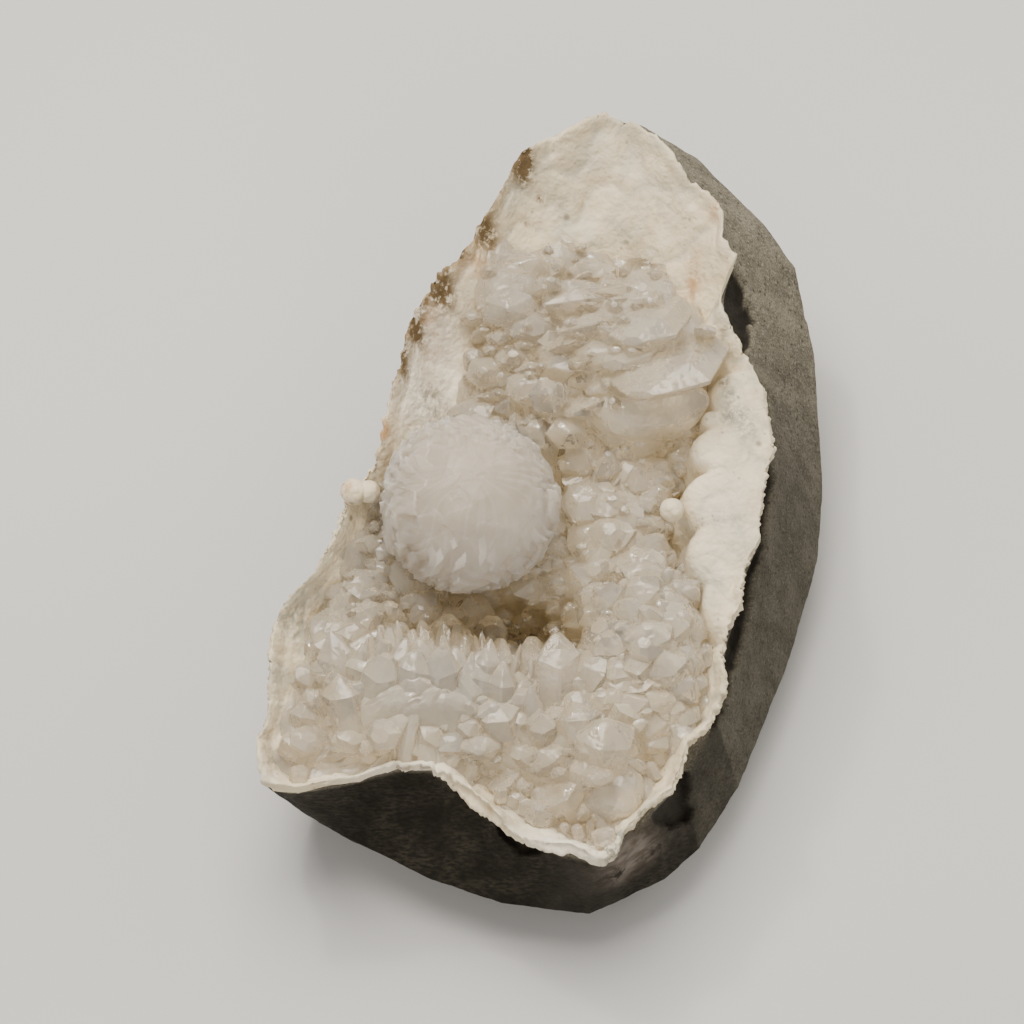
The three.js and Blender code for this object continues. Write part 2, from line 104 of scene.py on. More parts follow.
QUARTZ_BORDER = [
    (5.2, 33.0), (-1.4, 32.8), (-6.1, 30.9), (-7.0, 27.8), (-7.2, 23.3), (-8.7, 19.4),
    (-9.8, 15.6), (-9.6, 12.0), (-12.6, 9.4), (-17.6, 5.6), (-18.6, 2.2), (-20.9, -1.1),
    (-22.0, -3.9), (-23.7, -7.8), (-25.6, -12.2), (-27.6, -16.7), (-28.7, -21.1), (-29.6, -24.4),
    (-29.4, -28.3), (-27.6, -29.6), (-23.7, -28.9), (-18.1, -27.8), (-12.6, -27.2), (-8.1, -29.1),
    (-3.7, -32.4), (1.9, -35.4), (6.3, -37.6), (7.9, -36.2), (10.0, -32.8), (12.2, -30.2),
    (13.4, -27.0), (16.3, -24.2), (18.6, -20.0), (18.4, -14.4), (19.2, -10.0), (18.0, -6.1),
    (15.4, -2.8), (14.3, 0.6), (15.7, 3.3), (16.3, 6.7), (18.0, 9.4), (18.8, 13.9), (17.7, 20.0),
    (16.3, 24.4), (13.6, 30.0), (10.8, 31.7),
]
SHOULDER = [
    (7.0, 43.6), (3.0, 42.2), (-1.4, 39.6), (-3.7, 36.5), (-6.8, 31.0), (-10.3, 26.5),
    (-13.7, 21.5), (-15.7, 15.5), (-16.8, 10.0), (-19.0, 4.4), (-21.2, 0.0), (-23.1, -5.0),
    (-27.0, -10.0), (-29.2, -14.4), (-29.5, -20.0), (-30.8, -25.6), (-30.4, -29.6), (-28.0, -30.3),
    (-22.6, -29.7), (-15.9, -28.0), (-12.6, -28.0), (-8.1, -30.8), (-3.1, -35.2), (1.9, -37.3),
    (5.9, -38.3), (8.3, -37.6), (12.4, -33.4), (16.3, -27.8), (19.4, -22.2), (20.8, -15.6),
    (22.4, -8.9), (24.3, -2.2), (25.4, 5.6), (24.8, 12.2), (22.8, 18.9), (21.3, 24.4),
    (20.5, 31.1), (17.4, 36.4), (14.3, 40.2), (10.8, 43.1),
]
BELT = [
    (10.8, 47.6, 30.0), (1.0, 43.0, 28.0), (-5.0, 36.0, 23.0), (-10.5, 28.0, 19.0),
    (-15.0, 20.0, 16.0), (-17.5, 10.0, 14.0), (-21.5, 1.0, 13.0), (-26.0, -8.0, 12.0),
    (-29.0, -17.0, 12.0), (-30.9, -26.5, 12.0), (-23.7, -29.6, 7.5), (-12.6, -35.5, 7.0),
    (-4.8, -38.4, 7.0), (5.2, -39.8, 7.0), (13.6, -35.5, 7.0), (17.4, -31.8, 7.0),
    (21.9, -24.2, 7.0), (27.4, -9.5, 7.0), (31.0, 3.2, 7.5), (31.7, 12.0, 9.0),
    (30.8, 27.0, 13.0), (28.6, 36.0, 17.0), (25.2, 39.8, 20.0), (17.4, 45.8, 25.0),
]
BASE = [
    (8.0, 37.5), (0.0, 35.5), (-6.0, 29.0), (-11.0, 20.0), (-14.0, 10.0), (-18.0, 0.0),
    (-22.5, -9.0), (-25.0, -18.0), (-25.5, -24.0), (-20.0, -27.5), (-10.0, -32.0), (-3.0, -34.5),
    (4.5, -35.5), (12.0, -32.0), (16.0, -26.5), (22.5, -9.0), (26.0, 3.0), (27.0, 12.0),
    (25.5, 25.0), (23.0, 32.5), (17.0, 36.5),
]


@dataclass(frozen=True)
class Spot:
    """A soft oval patch on the face: its middle, its reach in x and y, and how strong it is."""

    x: float
    y: float
    reach_x: float
    reach_y: float
    amount: float

    def at(self, x: np.ndarray, y: np.ndarray) -> np.ndarray:
        """Amount times a bell over the distance from the middle, measured in reaches."""
        far = ((x - self.x) / self.reach_x) ** 2 + ((y - self.y) / self.reach_y) ** 2
        return self.amount * np.exp(-far)


@dataclass(frozen=True)
class Knob:
    """A white knob: its middle, its level against the face, and its radius."""

    x: float
    y: float
    level: float
    radius: float


@dataclass(frozen=True)
class Mound:
    """A flat-topped swelling of the rind: its middle, its reach in x and y, its top's level."""

    x: float
    y: float
    reach_x: float
    reach_y: float
    level: float


@dataclass(frozen=True)
class Lens:
    """A rounded lump of quartz: its middle, its level against the face, its reach three ways."""

    x: float
    y: float
    level: float
    reach: tuple[float, float, float]


@dataclass(frozen=True)
class CrystalPatch:
    """Crystals round one spot: middle, reach, number, direction, width, thickness, length, seed."""

    at: tuple[float, float]
    reach: tuple[float, float]
    count: int
    points: tuple[float, float, float]
    width: tuple[float, float]
    thickness: tuple[float, float]
    length: tuple[float, float]
    seed: int


@dataclass(frozen=True)
class TallCrystal:
    """A crystal that stands out: place, direction, half width and thickness, length, point share."""

    at: tuple[float, float]
    points: tuple[float, float, float]
    half: tuple[float, float]
    length: float
    tip: float


PITS = [Spot(-0.5, -11, 6, 6, 3.5), Spot(-13, 2.5, 6, 6, 1.8)]
BANKS = [
    Spot(-13.5, -22.5, 13, 6.5, 9.0), Spot(4.0, -27.5, 7, 7.5, 7.0), Spot(-23.5, -11.0, 5, 10, 5.5),
    Spot(12.0, -14.5, 7, 9.5, 8.5), Spot(9.0, 0.5, 6, 4.5, 3.0), Spot(11.0, 20.5, 8.5, 7, 7.5),
    Spot(-2.5, 23.5, 6.5, 7, 5.0), Spot(0.0, 13.0, 5, 5, 3.5), Spot(-0.5, -10.5, 5.5, 4, -6.0),
]
MOUNDS = [
    Mound(20.2, 7.2, 4.0, 2.9, -0.3), Mound(19.6, 1.5, 4.4, 3.7, -0.4), Mound(20.0, -4.4, 4.3, 4.4, -0.6),
    Mound(21.9, 13.2, 3.6, 3.4, -0.6), Mound(18.9, 10.6, 1.4, 1.2, -0.7), Mound(19.6, -9.8, 2.2, 4.0, -0.8),
    Mound(22.6, 2.8, 4.6, 11.5, -0.3),
]
PEARLS = [Knob(14.3, -0.1, 0.2, 1.35), Knob(-21.0, 1.9, 0.3, 1.5), Knob(-19.4, 2.0, 0.1, 1.3)]
TALL_CRYSTALS = [
    TallCrystal((1.4, -20.8), (0.02, 0.78, 0.62), (2.7, 2.4), 8.2, 0.42),
    TallCrystal((-6.6, -20.6), (0.12, 0.74, 0.66), (1.7, 1.5), 7.0, 0.4),
    TallCrystal((-10.6, -14.6), (0.02, 0.5, 0.86), (2.9, 2.6), 6.4, 0.55),
    TallCrystal((-17.0, -15.0), (0.25, 0.45, 0.85), (2.2, 2.0), 5.4, 0.5),
    TallCrystal((-13.2, -19.6), (-0.1, 0.66, 0.74), (2.0, 1.9), 5.8, 0.45),
    TallCrystal((-21.5, -23.0), (-0.2, 0.55, 0.8), (2.4, 2.2), 5.4, 0.4),
    TallCrystal((0.2, 13.4), (0.1, -0.28, 0.95), (2.2, 2.0), 5.8, 0.3),
    TallCrystal((1.9, 10.6), (0.25, -0.4, 0.88), (2.4, 1.9), 5.0, 0.35),
    TallCrystal((-3.9, 24.0), (0.05, -0.5, 0.86), (3.0, 2.4), 5.2, 0.35),
    TallCrystal((-6.2, 17.4), (-0.1, -0.3, 0.95), (2.1, 1.9), 4.6, 0.4),
    TallCrystal((8.6, 25.0), (-0.82, -0.32, 0.48), (2.7, 1.7), 10.5, 0.35),
    TallCrystal((9.8, 21.6), (-0.86, -0.36, 0.36), (2.4, 1.5), 9.6, 0.4),
    TallCrystal((12.6, 22.0), (-0.3, -0.68, 0.66), (4.4, 2.2), 9.0, 0.35),
    TallCrystal((14.4, 18.4), (-0.34, -0.76, 0.55), (7.0, 2.5), 11.0, 0.5),
    TallCrystal((7.3, 5.8), (0.0, 0.3, 0.95), (1.7, 1.6), 5.2, 0.5),
    TallCrystal((11.0, 3.6), (-0.15, 0.4, 0.9), (1.6, 1.5), 4.8, 0.45),
    TallCrystal((5.6, -6.0), (-0.5, 0.1, 0.86), (2.2, 2.0), 5.0, 0.45),
    TallCrystal((6.6, -27.6), (0.08, 0.4, 0.91), (3.4, 3.0), 5.6, 0.45),
    TallCrystal((14.0, -18.6), (-0.25, 0.35, 0.9), (2.6, 2.4), 4.8, 0.45),
]


def chance(n: np.ndarray | float) -> np.ndarray:
    """Repeatable values from 0 to 1: the fraction left over from a large sine of the number.

    Args:
        n: One whole number or an array of them.

    Returns:
        Values of the same shape.
    """
    s = np.sin(np.asarray(n, float) * 127.1 + 31.7) * 43758.5453
    return s - np.floor(s)


def smooth_step(low: float, high: float, value: np.ndarray) -> np.ndarray:
    """Three t squared minus two t cubed, with t the share of the way from low to high.

    Args:
        low: Value where the step starts.
        high: Value where it ends.
        value: Values to step.

    Returns:
        Values from 0 to 1.
    """
    t = np.clip((value - low) / (high - low), 0, 1)
    return t * t * (3 - 2 * t)


def unit(vectors: np.ndarray) -> np.ndarray:
    """Vectors divided by their length."""
    return vectors / np.maximum(np.linalg.norm(vectors, axis=-1, keepdims=True), 1e-9)


class Outline:
    """A closed outline swept by angle round the pole, with a height at each corner."""

    def __init__(self, corners: Sequence[tuple[float, ...]]) -> None:
        """Sorts the corners by their angle round the pole.

        Args:
            corners: Points x, y or x, y, z in mm.
        """
        table = np.array([(*c, 0.0)[:3] for c in corners])
        table[:, :2] -= POLE
        angle = np.arctan2(table[:, 1], table[:, 0]) % TAU
        order = np.argsort(angle)
        self.angle = angle[order]
        self.corners = table[order]

    def cross(self, angle: np.ndarray) -> tuple[np.ndarray, np.ndarray]:
        """Where the ray at each angle crosses the straight edge between the corners beside it.

        Args:
            angle: Angles round the pole.

        Returns:
            Distance from the pole and height there.
        """
        turn = angle % TAU
        after = np.searchsorted(self.angle, turn, side="right") % len(self.angle)
        a = self.corners[after - 1]
        b = self.corners[after]
        edge = b - a
        ray_x, ray_y = np.cos(turn), np.sin(turn)
        cross = ray_x * edge[..., 1] - ray_y * edge[..., 0]
        radius = (a[..., 0] * edge[..., 1] - a[..., 1] * edge[..., 0]) / cross
        share = (a[..., 0] * ray_y - a[..., 1] * ray_x) / cross
        return radius, a[..., 2] + share * edge[..., 2]


class Clouds:
    """Repeatable noise in space: each whole cell of a lattice gets its own numbers by a hash."""

    def __init__(self, seed: int) -> None:
        """Keeps the seed that sets one noise apart from another.

        Args:
            seed: Any whole number.
        """
        self.seed = seed

    def _number(self, cell: np.ndarray, channel: int) -> np.ndarray:
        """A number from 0 to 1 for each lattice cell: a hash of its three whole numbers.

        Args:
            cell: Whole numbers, the last axis x, y, z.
            channel: Which of the cell's numbers.

        Returns:
            Values without the last axis.
        """
        c = cell.astype(np.int64)
        h = c[..., 0] * 374761393 + c[..., 1] * 668265263 + c[..., 2] * 974711
        h = (h + self.seed * 1274126177 + channel * 69069) & 0xFFFFFFFF
        h = ((h ^ (h >> 13)) * 1540483477) & 0xFFFFFFFF
        h = ((h ^ (h >> 15)) * 2246822519) & 0xFFFFFFFF
        return ((h ^ (h >> 16)) & 0xFFFFFF) / float(0x1000000)

    def smooth(self, points: np.ndarray, size: float) -> np.ndarray:
        """Gradient noise: slopes at the lattice corners, blended by a five-degree fade.

        Args:
            points: Points in mm.
            size: Lattice pitch in mm.

        Returns:
            Values from about -1 to 1.
        """
        p = points / size
        cell = np.floor(p)
        f = p - cell
        fade = f * f * f * (f * (f * 6 - 15) + 10)
        total = np.zeros(p.shape[:-1])
        for corner in np.ndindex(2, 2, 2):
            step = np.array(corner)
            slope = np.stack([self._number(cell + step, k) for k in range(3)], -1) * 2 - 1
            weight = np.prod(np.where(step == 1, fade, 1 - fade), -1)
            total += weight * np.sum(slope * (f - step), -1)
        return total * 1.6

    def layered(self, points: np.ndarray, size: float, layers: int) -> np.ndarray:
        """Sum of smooth noises, each half the size and half the weight of the one before.

        Args:
            points: Points in mm.
            size: Pitch of the coarsest noise in mm.
            layers: How many noises.

        Returns:
            Values from about -1 to 1.
        """
        total = np.zeros(points.shape[:-1])
        for k in range(layers):
            total += 0.5**k * self.smooth(points + 17.3 * k, size * 0.5**k)
        return total / (2 - 0.5 ** (layers - 1))

    def pillows(self, points: np.ndarray, size: float) -> np.ndarray:
        """Round swellings with narrow creases: the size of smooth noise, rounded off at the top.

        Args:
            points: Points in mm.
            size: Pitch in mm.

        Returns:
            Values from 0 in the creases to about 1.
        """
        return np.sqrt(np.abs(self.smooth(points, size)) + 0.004) - 0.063

    def cells(self, points: np.ndarray, size: float) -> tuple[np.ndarray, np.ndarray, np.ndarray]:
        """Distance to the nearest and second nearest of one random point per lattice cell.

        Args:
            points: Points in mm.
            size: Pitch in mm.

        Returns:
            The two distances in pitches, and the vector from the nearest point.
        """
        p = points / size
        base = np.floor(p)
        near = np.full(p.shape[:-1], 9.0)
        second = near.copy()
        away = np.zeros_like(p)
        for corner in np.ndindex(3, 3, 3):
            cell = base + np.array(corner) - 1
            seed = cell + np.stack([self._number(cell, k) for k in range(3)], -1)
            vector = p - seed
            d = np.linalg.norm(vector, axis=-1)
            closer = d < near
            second = np.where(closer, near, np.minimum(second, d))
            away = np.where(closer[..., None], vector, away)
            near = np.where(closer, d, near)
        return near, second, away


@dataclass
class StoneForm:
    """The heights that the rock, the rind and the quartz share, all functions of x and y in mm."""

    pocket_depth: float = 12.0
    pocket_power: float = 3.0
    rind_edge: float = 1.7
    rind_middle: float = 3.2
    ripple: float = 0.35
    crust_edge: float = 1.1
    crust_taper: float = 2.6
    crust_floor: float = -7.5

    def __post_init__(self) -> None:
        """Sweeps the outlines once."""
        self.rim = Outline(RIM)
        self.quartz_border = Outline(QUARTZ_BORDER)
        self.shoulder = Outline(SHOULDER)
        self.belt = Outline(BELT)
        self.base = Outline(BASE)

    @staticmethod
    def polar(x: np.ndarray, y: np.ndarray) -> tuple[np.ndarray, np.ndarray]:
        """Angle and distance of points round the pole."""
        return np.arctan2(y - POLE[1], x - POLE[0]) % TAU, np.hypot(x - POLE[0], y - POLE[1])

    @staticmethod
    def place(angle: np.ndarray, radius: np.ndarray) -> tuple[np.ndarray, np.ndarray]:
        """The x and y of points at an angle and distance from the pole."""
        return POLE[0] + radius * np.cos(angle), POLE[1] + radius * np.sin(angle)

    @staticmethod
    def face(y: np.ndarray) -> np.ndarray:
        """Height of the plane of the broken face."""
        return FACE_HEIGHT + FACE_SLOPE * y

    def rind_top(self, x: np.ndarray, y: np.ndarray) -> np.ndarray:
        """The face, less a bowl that flattens out to the pole, less the pits, plus soft folds.

        Args:
            x: Places across the face.
            y: Places along it.

        Returns:
            Heights.
        """
        angle, far = self.polar(x, y)
        share = np.minimum(far / self.rim.cross(angle)[0], 1)
        bowl = self.pocket_depth * (1 - share**self.pocket_power)
        pits = sum(pit.at(x, y) for pit in PITS)
        folds = self.ripple * (np.sin(0.9 * x + 0.5 * y) + np.sin(0.62 * y - 0.35 * x + 1.3))
        return self.face(y) - bowl - pits + folds

    def rind_bottom(self, x: np.ndarray, y: np.ndarray, share: np.ndarray | float) -> np.ndarray:
        """The top of the rind less its thickness, which grows from the rim to the middle.

        Args:
            x: Places across the face.
            y: Places along it.
            share: Share of the way from the pole to the rim.

        Returns:
            Heights.
        """
        grown = (self.rind_middle - self.rind_edge) * (1 - share * share)
        return self.rind_top(x, y) - self.rind_edge - grown

    def quartz_top(self, x: np.ndarray, y: np.ndarray) -> np.ndarray:
        """A thin sheet at the quartz's border that rises inwards to a floor with banks on it.

        Args:
            x: Places across the face.
            y: Places along it.

        Returns:
            Heights of the crust without its crystals.
        """
        angle, far = self.polar(x, y)
        inside = np.maximum(self.quartz_border.cross(angle)[0] - far, 0)
        rise = 1 - np.exp(-((inside / self.crust_taper) ** 2))
        level = self.crust_floor + sum(bank.at(x, y) for bank in BANKS)
        thin = self.rind_top(x, y) + self.crust_edge
        return thin + rise * np.maximum(self.face(y) + level - thin, 0.6)

    def quartz_normal(self, x: np.ndarray, y: np.ndarray) -> np.ndarray:
        """Direction that the quartz faces, from height differences over 1.2 mm each way.

        Args:
            x: Places across the face.
            y: Places along it.

        Returns:
            Unit vectors.
        """
        step = 1.2
        dx = (self.quartz_top(x + step, y) - self.quartz_top(x - step, y)) / (2 * step)
        dy = (self.quartz_top(x, y + step) - self.quartz_top(x, y - step)) / (2 * step)
        return unit(np.stack([-dx, -dy, np.ones_like(dx)], -1))


@dataclass
class Surface:
    """Points in mm with the quads and triangles between them, and values kept at each point."""

    points: np.ndarray
    quads: np.ndarray
    triangles: np.ndarray
    values: dict[str, np.ndarray] = field(default_factory=dict)

    @classmethod
    def joined(cls, parts: Sequence["Surface"]) -> "Surface":
        """Several surfaces in one, with their values side by side."""
        starts = np.cumsum([0, *[len(part.points) for part in parts]])
        names = parts[0].values
        return cls(
            np.concatenate([part.points for part in parts]),
            np.concatenate([part.quads + s for part, s in zip(parts, starts)]),
            np.concatenate([part.triangles + s for part, s in zip(parts, starts)]),
            {name: np.concatenate([part.values[name] for part in parts]) for name in names},
        )

    def mesh(self, name: str, to_frame: bool = True) -> bpy.types.Mesh:
        """A Blender mesh of the surface.

        Args:
            name: The mesh's name.
            to_frame: Whether to move the points to the solids' frame and to metres.

        Returns:
            The mesh, with each value as a point attribute.
        """
        points = self.points
        if to_frame:
            points = np.clip((points - ORIGIN) * MM, np.array(CAD_BOX[0]), np.array(CAD_BOX[1]))
        mesh = bpy.data.meshes.new(name)
        mesh.vertices.add(len(points))
        mesh.vertices.foreach_set("co", points.astype(np.float32).ravel())
        corners = np.concatenate([self.quads.ravel(), self.triangles.ravel()])
        mesh.loops.add(len(corners))
        mesh.loops.foreach_set("vertex_index", corners.astype(np.int32))
        sizes = np.repeat([4, 3], [len(self.quads), len(self.triangles)])
        mesh.polygons.add(len(sizes))
        mesh.polygons.foreach_set("loop_start", (np.cumsum(sizes) - sizes).astype(np.int32))
        mesh.update(calc_edges=True)
        for key, value in self.values.items():
            mesh.attributes.new(key, "FLOAT", "POINT").data.foreach_set(
                "value", value.astype(np.float32)
            )
        return mesh


def skin(rings: np.ndarray, top: np.ndarray, bottom: np.ndarray) -> Surface:
    """A closed skin: a fan from the top point, bands between the rings, a fan to the bottom.

    Args:
        rings: Points by ring, round the ring and x, y, z, from the top outwards and down.
        top: Point in the middle of the first ring.
        bottom: Point in the middle of the last ring.

    Returns:
        The closed surface, facing out.
    """
    count, around, _ = rings.shape
    i = np.arange(around)
    j = (i + 1) % around
    start = 1 + np.arange(count - 1)[:, None] * around
    quads = np.stack([start + i, start + around + i, start + around + j, start + j], -1)
    last = 1 + (count - 1) * around
    end = np.full(around, 1 + count * around)
    fans = [np.stack([i * 0, 1 + i, 1 + j], -1), np.stack([end, last + j, last + i], -1)]
    points = np.concatenate([top[None], rings.reshape(-1, 3), bottom[None]])
    return Surface(points, quads.reshape(-1, 4), np.concatenate(fans))


def ring_normals(rings: np.ndarray) -> np.ndarray:
    """Outward directions on a grid of rings: the step outwards crossed with the step round.

    Args:
        rings: Points by ring, round the ring and x, y, z.

    Returns:
        Unit vectors of the same shape.
    """
    along = np.gradient(rings, axis=0)
    round_it = np.roll(rings, -1, 1) - np.roll(rings, 1, 1)
    return unit(np.cross(along, round_it))


def ball_grid(steps: int) -> Surface:
    """A unit ball from a cube: each face is a grid whose points are pushed out to the sphere.

    Args:
        steps: Squares along each edge of the cube.

    Returns:
        The closed ball, with the seams between the cube's faces joined.
    """
    t = np.tan(np.linspace(-math.pi / 4, math.pi / 4, steps + 1))
    u, v = np.meshgrid(t, t, indexing="ij")
    one = np.ones_like(u)
    sides = [(one, u, v), (-one, v, u), (v, one, u), (u, -one, v), (u, v, one), (v, u, -one)]
    points = unit(np.concatenate([np.stack(side, -1).reshape(-1, 3) for side in sides]))
    k = np.arange((steps + 1) ** 2).reshape(steps + 1, steps + 1)
    square = np.stack([k[:-1, :-1], k[1:, :-1], k[1:, 1:], k[:-1, 1:]], -1).reshape(-1, 4)
    quads = np.concatenate([square + n * k.size for n in range(6)])
    _, first, same = np.unique(np.round(points, 6), axis=0, return_index=True, return_inverse=True)
    return Surface(points[first], same.reshape(-1)[quads], np.zeros((0, 3), int))


class Wiring:
    """Adds nodes to a node tree and joins them."""

    def __init__(self, tree: bpy.types.NodeTree) -> None:
        """Keeps the tree.

        Args:
            tree: A material's or a group's node tree.
        """
        self.tree = tree

    def add(self, kind: str, inputs: dict[Any, Any] | None = None, **settings: Any) -> bpy.types.Node:
        """A new node with its settings, and its inputs filled or linked.

        Args:
            kind: Blender's name of the node type.
            inputs: Socket name or number to a value or to another node's output.
            settings: The node's own properties.

        Returns:
            The node.
        """
        node = self.tree.nodes.new(kind)
        for name, value in settings.items():
            setattr(node, name, value)
        for key, value in (inputs or {}).items():
            if isinstance(value, bpy.types.NodeSocket):
                self.tree.links.new(value, node.inputs[key])
            else:
                node.inputs[key].default_value = value
        return node

    def noise(self, vector: bpy.types.NodeSocket, size_mm: float, **inputs: float) -> bpy.types.NodeSocket:
        """Noise from 0 to 1 whose lumps are about a size across.

        Args:
            vector: Where to read it.
            size_mm: Size of its lumps in mm.
            inputs: Detail, Roughness or Distortion.

        Returns:
            The output socket.
        """
        sockets = {"Vector": vector, "Scale": 1 / (size_mm * MM), **inputs}
        return self.add("ShaderNodeTexNoise", sockets).outputs[0]

    def ramp(self, value: Any, low: float, high: float, to: tuple[float, float] = (0, 1)) -> Any:
        """A value carried smoothly from one range to another.

        Args:
            value: The socket to read.
            low: Where the range starts.
            high: Where it ends.
            to: What the two ends become.

        Returns:
            The output socket.
        """
        sockets = {"Value": value, "From Min": low, "From Max": high, "To Min": to[0], "To Max": to[1]}
        return self.add("ShaderNodeMapRange", sockets, interpolation_type="SMOOTHSTEP").outputs[0]

    def sum(self, operation: str, a: Any, b: Any = 0.0, clamp: bool = False) -> Any:
        """The result of one piece of arithmetic.

        Args:
            operation: Blender's name of it, such as MULTIPLY.
            a: First value or socket.
            b: Second value or socket.
            clamp: Whether to keep the result from 0 to 1.

        Returns:
            The output socket.
        """
        return self.add("ShaderNodeMath", {0: a, 1: b}, operation=operation, use_clamp=clamp).outputs[0]

    def blend(self, share: Any, a: Any, b: Any, mode: str = "MIX") -> Any:
        """A colour between two colours.

        Args:
            share: How much of the second.
            a: First colour or socket.
            b: Second colour or socket.
            mode: Blender's name of the blend.

        Returns:
            The output socket.
        """
        node = self.tree.nodes.new("ShaderNodeMix")
        node.data_type = "RGBA"
        node.blend_type = mode
        for key, value in ((0, share), (6, a), (7, b)):
            if isinstance(value, bpy.types.NodeSocket):
                self.tree.links.new(value, node.inputs[key])
            elif key == 0:
                node.inputs[key].default_value = value
            else:
                node.inputs[key].default_value = (*value, 1.0)
        return node.outputs[2]

    def kept(self, name: str) -> bpy.types.NodeSocket:
        """A value that the mesh keeps at its points."""
        return self.add("ShaderNodeAttribute", attribute_name=name).outputs["Fac"]


def new_group(
    name: str, inputs: dict[str, float], outputs: Iterable[str]
) -> tuple[bpy.types.NodeTree, Wiring, bpy.types.Node, bpy.types.Node]:
    """An empty shader node group with a Vector input and named number sockets.

    Args:
        name: The group's name.
        inputs: Names of the number inputs and their usual values.
        outputs: Names of the number outputs.

    Returns:
        The group, its wiring, its input node and its output node.
    """
    group = bpy.data.node_groups.new(name, "ShaderNodeTree")
    group.interface.new_socket("Vector", in_out="INPUT", socket_type="NodeSocketVector")
    for key, value in inputs.items():
        socket = group.interface.new_socket(key, in_out="INPUT", socket_type="NodeSocketFloat")
        socket.default_value = value
    for key in outputs:
        group.interface.new_socket(key, in_out="OUTPUT", socket_type="NodeSocketFloat")
    wiring = Wiring(group)
    return group, wiring, wiring.add("NodeGroupInput"), wiring.add("NodeGroupOutput")


class SharedEffects:
    """The node groups that more than one finish uses, built once."""

    def __init__(self) -> None:
        """Builds the groups."""
        self.specks = self._specks()
        self.grain = self._grain()

    @staticmethod
    def _specks() -> bpy.types.NodeTree:
        """Small dots of uneven size: near a cell's middle, where a second noise allows them."""
        group, w, source, sink = new_group("specks", {"Scale": 900.0, "Amount": 0.4}, ["Mask"])
        vector, scale, amount = source.outputs[0], source.outputs[1], source.outputs[2]
        cell = w.add("ShaderNodeTexVoronoi", {"Vector": vector, "Scale": scale}, feature="F1")
        tint = w.add("ShaderNodeSeparateColor", {0: cell.outputs["Color"]}).outputs[0]
        chosen = w.sum("LESS_THAN", tint, amount)
        dot = w.ramp(cell.outputs["Distance"], 0.42, 0.12)
        w.tree.links.new(w.sum("MULTIPLY", chosen, dot), sink.inputs[0])
        return group

    @staticmethod
    def _grain() -> bpy.types.NodeTree:
        """Fine tooth: one noise at a given scale."""
        group, w, source, sink = new_group("grain", {"Scale": 700.0, "Detail": 6.0}, ["Height"])
        vector, scale, detail = source.outputs[0], source.outputs[1], source.outputs[2]
        tooth = w.add("ShaderNodeTexNoise", {"Vector": vector, "Scale": scale, "Detail": detail})
        w.tree.links.new(tooth.outputs[0], sink.inputs[0])
        return group


@dataclass(frozen=True)
class Gloss:
    """The numbers of a surface that are the same all over it."""

    ior: float = 1.5
    transmission: float = 0.0
    subsurface: float = 0.0
    depth_mm: float = 1.0


class Finish:
    """A material with a Principled surface, filled in by its kinds."""

    name = "finish"
    gloss = Gloss()

    def __init__(self, effects: SharedEffects) -> None:
        """Keeps the shared node groups.

        Args:
            effects: The groups.
        """
        self.effects = effects

    def group(self, w: Wiring, tree: bpy.types.NodeTree, vector: Any, *values: float) -> Any:
        """A shared group placed in this material with its own values.

        Args:
            w: The material's wiring.
            tree: The group.
            vector: Where it reads.
            values: Its number inputs in order.

        Returns:
            Its output socket.
        """
        inputs = {0: vector, **{k + 1: v for k, v in enumerate(values)}}
        node = w.tree.nodes.new("ShaderNodeGroup")
        node.node_tree = tree
        for key, value in inputs.items():
            if isinstance(value, bpy.types.NodeSocket):
                w.tree.links.new(value, node.inputs[key])
            else:
                node.inputs[key].default_value = value
        return node.outputs[0]

    def paint(self, w: Wiring, at: Any) -> tuple[Any, Any, list[tuple[Any, float]]]:
        """Colour, roughness, and heights with their sizes in mm. Each kind has its own."""
        raise NotImplementedError

    def material(self) -> bpy.types.Material:
        """Builds the material.

        Returns:
            The material, with colour, roughness and bumps linked and the rest plain.
        """
        made = bpy.data.materials.new(self.name)
        made.use_nodes = True
        w = Wiring(made.node_tree)
        surface = made.node_tree.nodes["Principled BSDF"]
        at = w.add("ShaderNodeTexCoord").outputs["Object"]
        colour, roughness, heights = self.paint(w, at)
        made.node_tree.links.new(colour, surface.inputs["Base Color"])
        made.node_tree.links.new(roughness, surface.inputs["Roughness"])
        normal = None
        for height, size_mm in heights:
            bump = w.add("ShaderNodeBump", {"Height": height, "Distance": size_mm * MM, "Strength": 1.0})
            if normal is not None:
                made.node_tree.links.new(normal, bump.inputs["Normal"])
            normal = bump.outputs[0]
        if normal is not None:
            made.node_tree.links.new(normal, surface.inputs["Normal"])
        surface.inputs["IOR"].default_value = self.gloss.ior
        surface.inputs["Transmission Weight"].default_value = self.gloss.transmission
        surface.inputs["Subsurface Weight"].default_value = self.gloss.subsurface
        surface.inputs["Subsurface Radius"].default_value = (1.0, 0.85, 0.65)
        surface.inputs["Subsurface Scale"].default_value = self.gloss.depth_mm * MM
        return made


